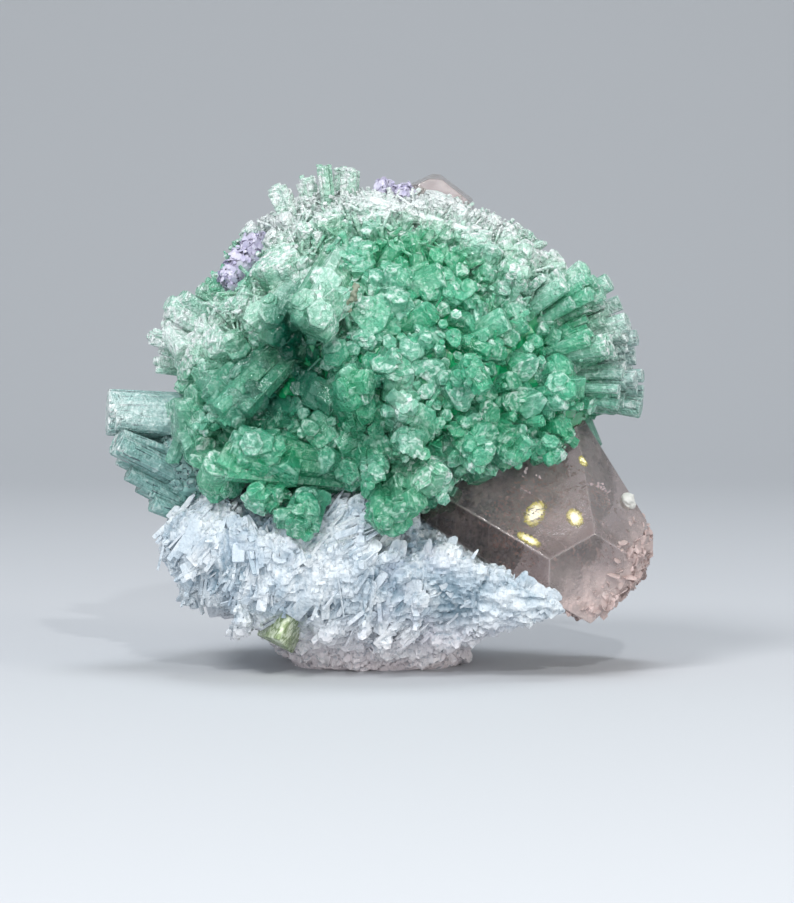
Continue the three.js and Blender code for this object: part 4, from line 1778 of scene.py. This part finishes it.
    def facet_shade(self, face: bpy.types.MeshPolygon) -> float:
        """The painted shade of a flat face, paler towards the bottom, or -1 on the worn edges between them.

        Args:
            face: A face of the large crystal.

        Returns:
            The share of the deep colour.
        """
        facing = [face.normal.dot(Vector(direction).normalized()) for direction, _ in MORGANITE_FACES]
        nearest = facing.index(max(facing))
        if facing[nearest] < 0.999:
            return -1.0
        lit = min(1.0, max(0.0, (face.center.z / MM - 12) / 12))
        return lit * (self.facet_shades + (0.25,) * len(facing))[nearest]

    def build(self) -> list[bpy.types.Object]:
        """Builds the two crystals, the veils, and the cracks whose painted light stands in for reflections.

        Returns:
            The finished pieces.
        """
        large = cut_crystal("morganite_crystal_clear", MORGANITE_FACES, self.bevel)
        small = cut_crystal("morganite_small_clear", SMALL_MORGANITE_FACES, self.bevel)
        for obj, zones in ((large, self.frost_zones), (small, (Zone(16, 96, 9, 6, 0.25),))):
            edit_faces(obj, lambda face: True)
            bpy.ops.mesh.quads_convert_to_tris()
            bpy.ops.mesh.subdivide(number_cuts=12)
            stop_editing()
            points = np.array([v.co for v in obj.data.vertices], float) / MM
            write_mark(obj.data, "frost", "POINT", covered(zones)(points))
        # Painted shade for each flat face of the large crystal.
        facet_shades = np.array([self.facet_shade(face) for face in large.data.polygons])
        write_mark(large.data, "facet_shade", "FACE", np.maximum(facet_shades, 0))
        # The worn edges are marked for a painted highlight.
        write_mark(large.data, "edge", "FACE", (facet_shades < 0).astype(float))
        settle(large, MorganiteFinish("morganite_pink").material())
        settle(small, MorganiteFinish("morganite_grey").material())
        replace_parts(large, "morganite_crystal")
        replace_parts(small, "small_morganite_crystal")
        pale = VeilFinish("morganite_veil", "EBD9DC").material()
        sugary = MorganiteFinish("morganite_crust").material()
        veils = settle(self.build_veils(), pale)
        # The crack flakes give off painted light that stands in for reflections.
        flashes = settle(self.build_flashes(large), PaintedFlashFinish().material())
        crust = settle(self.build_crust(large), sugary)
        return [large, small, veils, flashes, crust]


@dataclass
class MicaPatches:
    """The two patches of purple mica, as heaps of thin six-sided books."""

    left_patch: tuple[Grain, ...] = (
        (-24.2, -4, 85.2, 3.2), (-26, -7, 82, 3.6), (-28.2, -8, 78.6, 3.4), (-25.6, 0, 79.4, 4.4),
        (-24.6, -6.4, 83.8, 3.0), (-27.4, -7.6, 80.4, 3.4),
    )
    top_patch: tuple[Grain, ...] = (
        (1.8, -2, 96.2, 2.4), (6, -1.5, 95.2, 2.4), (3.6, 1, 94, 3.0),
    )
    books_in_grain: int = 150
    book_place: Range = (0.62, 0.95)  # from the grain's middle, against the grain's radius
    book_radius: Range = (0.4, 0.9)

    def model_book(self) -> Shape:
        """Models one book: a six-sided plate with two smaller leaves on it.

        Returns:
            The shape.
        """
        deselect_all()
        bpy.ops.mesh.primitive_cylinder_add(vertices=6, radius=1, depth=0.4)
        obj = bpy.context.object
        edit_faces(obj, lambda face: face.normal.z > 0.9)
        for inset in (0.14, 0.12):
            bpy.ops.mesh.inset(thickness=inset)
            bpy.ops.mesh.extrude_region_move(TRANSFORM_OT_translate={"value": (0.04, 0.02, 0.12)})
        stop_editing()
        return Shape.taken_from(obj, 0.13)

    def build_patch(self, name: str, grains: tuple[Grain, ...]) -> bpy.types.Object:
        """Heaps books round each grain's middle.

        Args:
            name: The piece's name.
            grains: Centre and radius of each grain, in millimetres.

        Returns:
            The patch as one object.
        """
        book = self.model_book()
        heap = Heap(name)
        for g, (x, y, z, radius) in enumerate(grains):
            for k, out in enumerate(spiral(self.books_in_grain)):
                index = g * 200 + k
                foot = np.array([x, y, z]) + out * radius * between(*self.book_place, scatter(index, 151))
                size = between(*self.book_radius, scatter(index, 152))
                tip = foot + unit(out + (draws(index, 153) - 0.5) * 1.4) * size * 0.9
                points, marks = standing(book, (tuple(tip), tuple(foot), size), scatter(index, 156) * 6, 1.1)
                marks["tint"] = np.full(len(points), scatter(index, 157))
                heap.add(book, points, marks)
        return heap.made({})

    def build(self) -> list[bpy.types.Object]:
        """Builds both patches.

        Returns:
            The finished pieces.
        """
        finish = MicaFinish().material()
        left = self.build_patch("lepidolite_left_books", self.left_patch)
        top = self.build_patch("lepidolite_top_books", self.top_patch)
        for piece, node in ((left, "lepidolite_left"), (top, "lepidolite_top")):
            settle(piece, finish)
            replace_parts(piece, node)
        return [left, top]


@dataclass
class SmallGrains:
    """The yellow-green crystal, the white grain on the morganite and the beige speck in the spray."""

    white_centre: Point = (50.2, -11, 33.4)
    white_radius: float = 2.0
    speck_centre: Point = (-3.2, -32.2, 76.8)
    speck_step: Point = (-0.133, 0.038, -0.228)
    speck_grains: int = 22
    speck_spread: float = 1.5
    speck_radius: Range = (0.3, 0.62)

    def build_yellow_green(self) -> bpy.types.Object:
        """Builds the see-through crystal at the rock's lower left edge.

        Returns:
            The finished piece.
        """
        obj = cut_crystal("yellow_green_crystal_clear", YELLOW_GREEN_FACES, 0.00035)
        settle(obj, YellowGreenFinish().material())
        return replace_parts(obj, "yellow_green_crystal")

    def build_lump(self, name: str, lumps: list[tuple[np.ndarray, float]]) -> bpy.types.Object:
        """Melts a few balls together into one rough lump.

        Args:
            name: The piece's name.
            lumps: Centre and radius of each ball, in millimetres.

        Returns:
            The lump.
        """
        balls = []
        for centre, radius in lumps:
            deselect_all()
            place = tuple(centre * MM)
            bpy.ops.mesh.primitive_ico_sphere_add(subdivisions=3, radius=radius * MM, location=place)
            balls.append(bpy.context.object)
        deselect_all()
        for ball in balls:
            ball.select_set(True)
        bpy.context.view_layer.objects.active = balls[0]
        if len(balls) > 1:
            bpy.ops.object.join()
        obj = balls[0]
        obj.name = obj.data.name = name
        bpy.ops.object.transform_apply(location=True)
        apply_modifier(obj, "REMESH", mode="VOXEL", voxel_size=0.00016)
        roughen(obj, 0.001, 0.0005)
        return obj

    def speck_grain(self, index: int) -> tuple[np.ndarray, float]:
        """One grain of the beige speck.

        Args:
            index: Its number along the speck.

        Returns:
            Its centre and its radius, in millimetres.
        """
        along = np.array(self.speck_centre, float) + np.array(self.speck_step) * index
        aside = self.speck_spread * (draws(index, 161) - 0.5)
        return along + aside, between(*self.speck_radius, scatter(index, 164))

    def build(self) -> list[bpy.types.Object]:
        """Builds the three small pieces.

        Returns:
            The finished pieces.
        """
        centre = np.array(self.white_centre, float)
        offsets = ((0, 0, 0), (0.4, -0.5, 0.7), (-0.5, 0.2, -0.7), (0.5, 0.3, -0.4))
        white = self.build_lump("white_grain", [(centre + o, self.white_radius * 0.72) for o in offsets])
        settle(white, VeilFinish("feldspar_white", "E6E7E2", 0.55).material())
        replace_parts(white, "white_feldspar_grain")
        speck = self.build_lump("beige_speck", [self.speck_grain(k) for k in range(self.speck_grains)])
        settle(speck, VeilFinish("beige_grains", "86907C", 0.5).material())
        return [self.build_yellow_green(), white, speck]


@dataclass(frozen=True)
class Lamp:
    """A round soft lamp: place and width in millimetres, power in watts."""

    name: str
    place: Point
    size: float
    power: float
    colour: str = "FFFFFF"


LAMPS = (
    Lamp("key", (-500, -700, 900), 420, 7.4),
    Lamp("top", (60, 100, 1000), 420, 3.6, "F4F8FF"),
    Lamp("right", (800, -500, 300), 350, 2.6, "FFF9F0"),
    Lamp("front", (-150, -1000, 160), 420, 2.6),
    Lamp("glint", (120, -700, 460), 24, 1.8),
)


@dataclass
class Studio:
    """A pale floor, soft lamps and the camera at the photograph's angle."""

    aim: Point = (4.4, -12, 43.7)
    distance: float = 700.0
    elevation: float = math.radians(3)
    lens: float = 139.7
    floor: str = "C0C3C7"
    sky: str = "DDE2E6"
    sky_strength: float = 0.6

    def build(self) -> None:
        """Builds the floor, the lamps and the camera."""
        self.build_floor()
        for lamp in LAMPS:
            self.add_lamp(lamp)
        self.add_camera()
        world = bpy.data.worlds.new("studio")
        world.use_nodes = True
        background = world.node_tree.nodes["Background"]
        background.inputs["Color"].default_value = linear(self.sky)
        background.inputs["Strength"].default_value = self.sky_strength
        scene = bpy.context.scene
        scene.world = world
        scene.view_settings.view_transform = "Standard"
        scene.cycles.max_bounces = 12
        scene.cycles.diffuse_bounces = 6
        scene.cycles.transmission_bounces = 10
        scene.cycles.transparent_max_bounces = 12

    def build_floor(self) -> None:
        """Builds a plain pale floor that curves up behind."""
        deselect_all()
        bpy.ops.mesh.primitive_plane_add(size=3, location=(0, -0.2, 0))
        floor = bpy.context.object
        floor.name = floor.data.name = "floor"
        bpy.ops.object.transform_apply(location=True)
        for edge in floor.data.edges:
            edge.select = all(floor.data.vertices[v].co.y > 0 for v in edge.vertices)
        floor.data.polygons[0].select = False
        for vertex in floor.data.vertices:
            vertex.select = vertex.co.y > 0
        bpy.context.tool_settings.mesh_select_mode = (False, True, False)
        bpy.ops.object.mode_set(mode="EDIT")
        bpy.ops.mesh.extrude_region_move(TRANSFORM_OT_translate={"value": (0, 0.2, 2.5)})
        stop_editing()
        wear_edges(floor, 0.7, 16)
        bpy.ops.object.shade_smooth()
        bench = Bench("floor")
        bench.dress(base_color=linear(self.floor), roughness=0.7)
        floor.data.materials.append(bench.material)

    def add_lamp(self, lamp: Lamp) -> None:
        """Hangs one soft lamp that looks at the specimen.

        Args:
            lamp: Which lamp.
        """
        data = bpy.data.lights.new(lamp.name, "AREA")
        data.shape = "DISK"
        data.size = lamp.size * MM
        data.energy = lamp.power
        data.color = linear(lamp.colour)[:3]
        obj = bpy.data.objects.new(lamp.name, data)
        bpy.context.scene.collection.objects.link(obj)
        obj.location = Vector(lamp.place) * MM
        obj.rotation_euler = (Vector(self.aim) - Vector(lamp.place)).to_track_quat("-Z", "Y").to_euler()

    def add_camera(self) -> None:
        """Adds the camera, in front and a little above."""
        data = bpy.data.cameras.new("camera")
        data.lens = self.lens
        camera = bpy.data.objects.new("camera", data)
        bpy.context.scene.collection.objects.link(camera)
        back = Vector((0, -math.cos(self.elevation), math.sin(self.elevation)))
        camera.location = (Vector(self.aim) + back * self.distance) * MM
        camera.rotation_euler = (-back).to_track_quat("-Z", "Y").to_euler()
        bpy.context.scene.camera = camera


def main() -> None:
    """Builds the whole specimen and its studio, and reports each piece."""
    logging.basicConfig(level=logging.INFO, format="%(message)s")
    Studio().build()
    modeller = CrystalModeller()
    shapes = {form: modeller.model(form) for form in CrystalForm}
    pieces = FeldsparRock().build()
    pieces += TourmalineSpray().build(shapes)
    pieces += LeftSpray().build(shapes)
    pieces += Morganites().build()
    pieces += MicaPatches().build()
    pieces += SmallGrains().build()
    for piece in pieces:
        LOG.info("%s: %d faces", piece.name, len(piece.data.polygons))
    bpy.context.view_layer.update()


if __name__ == "__main__":
    main()
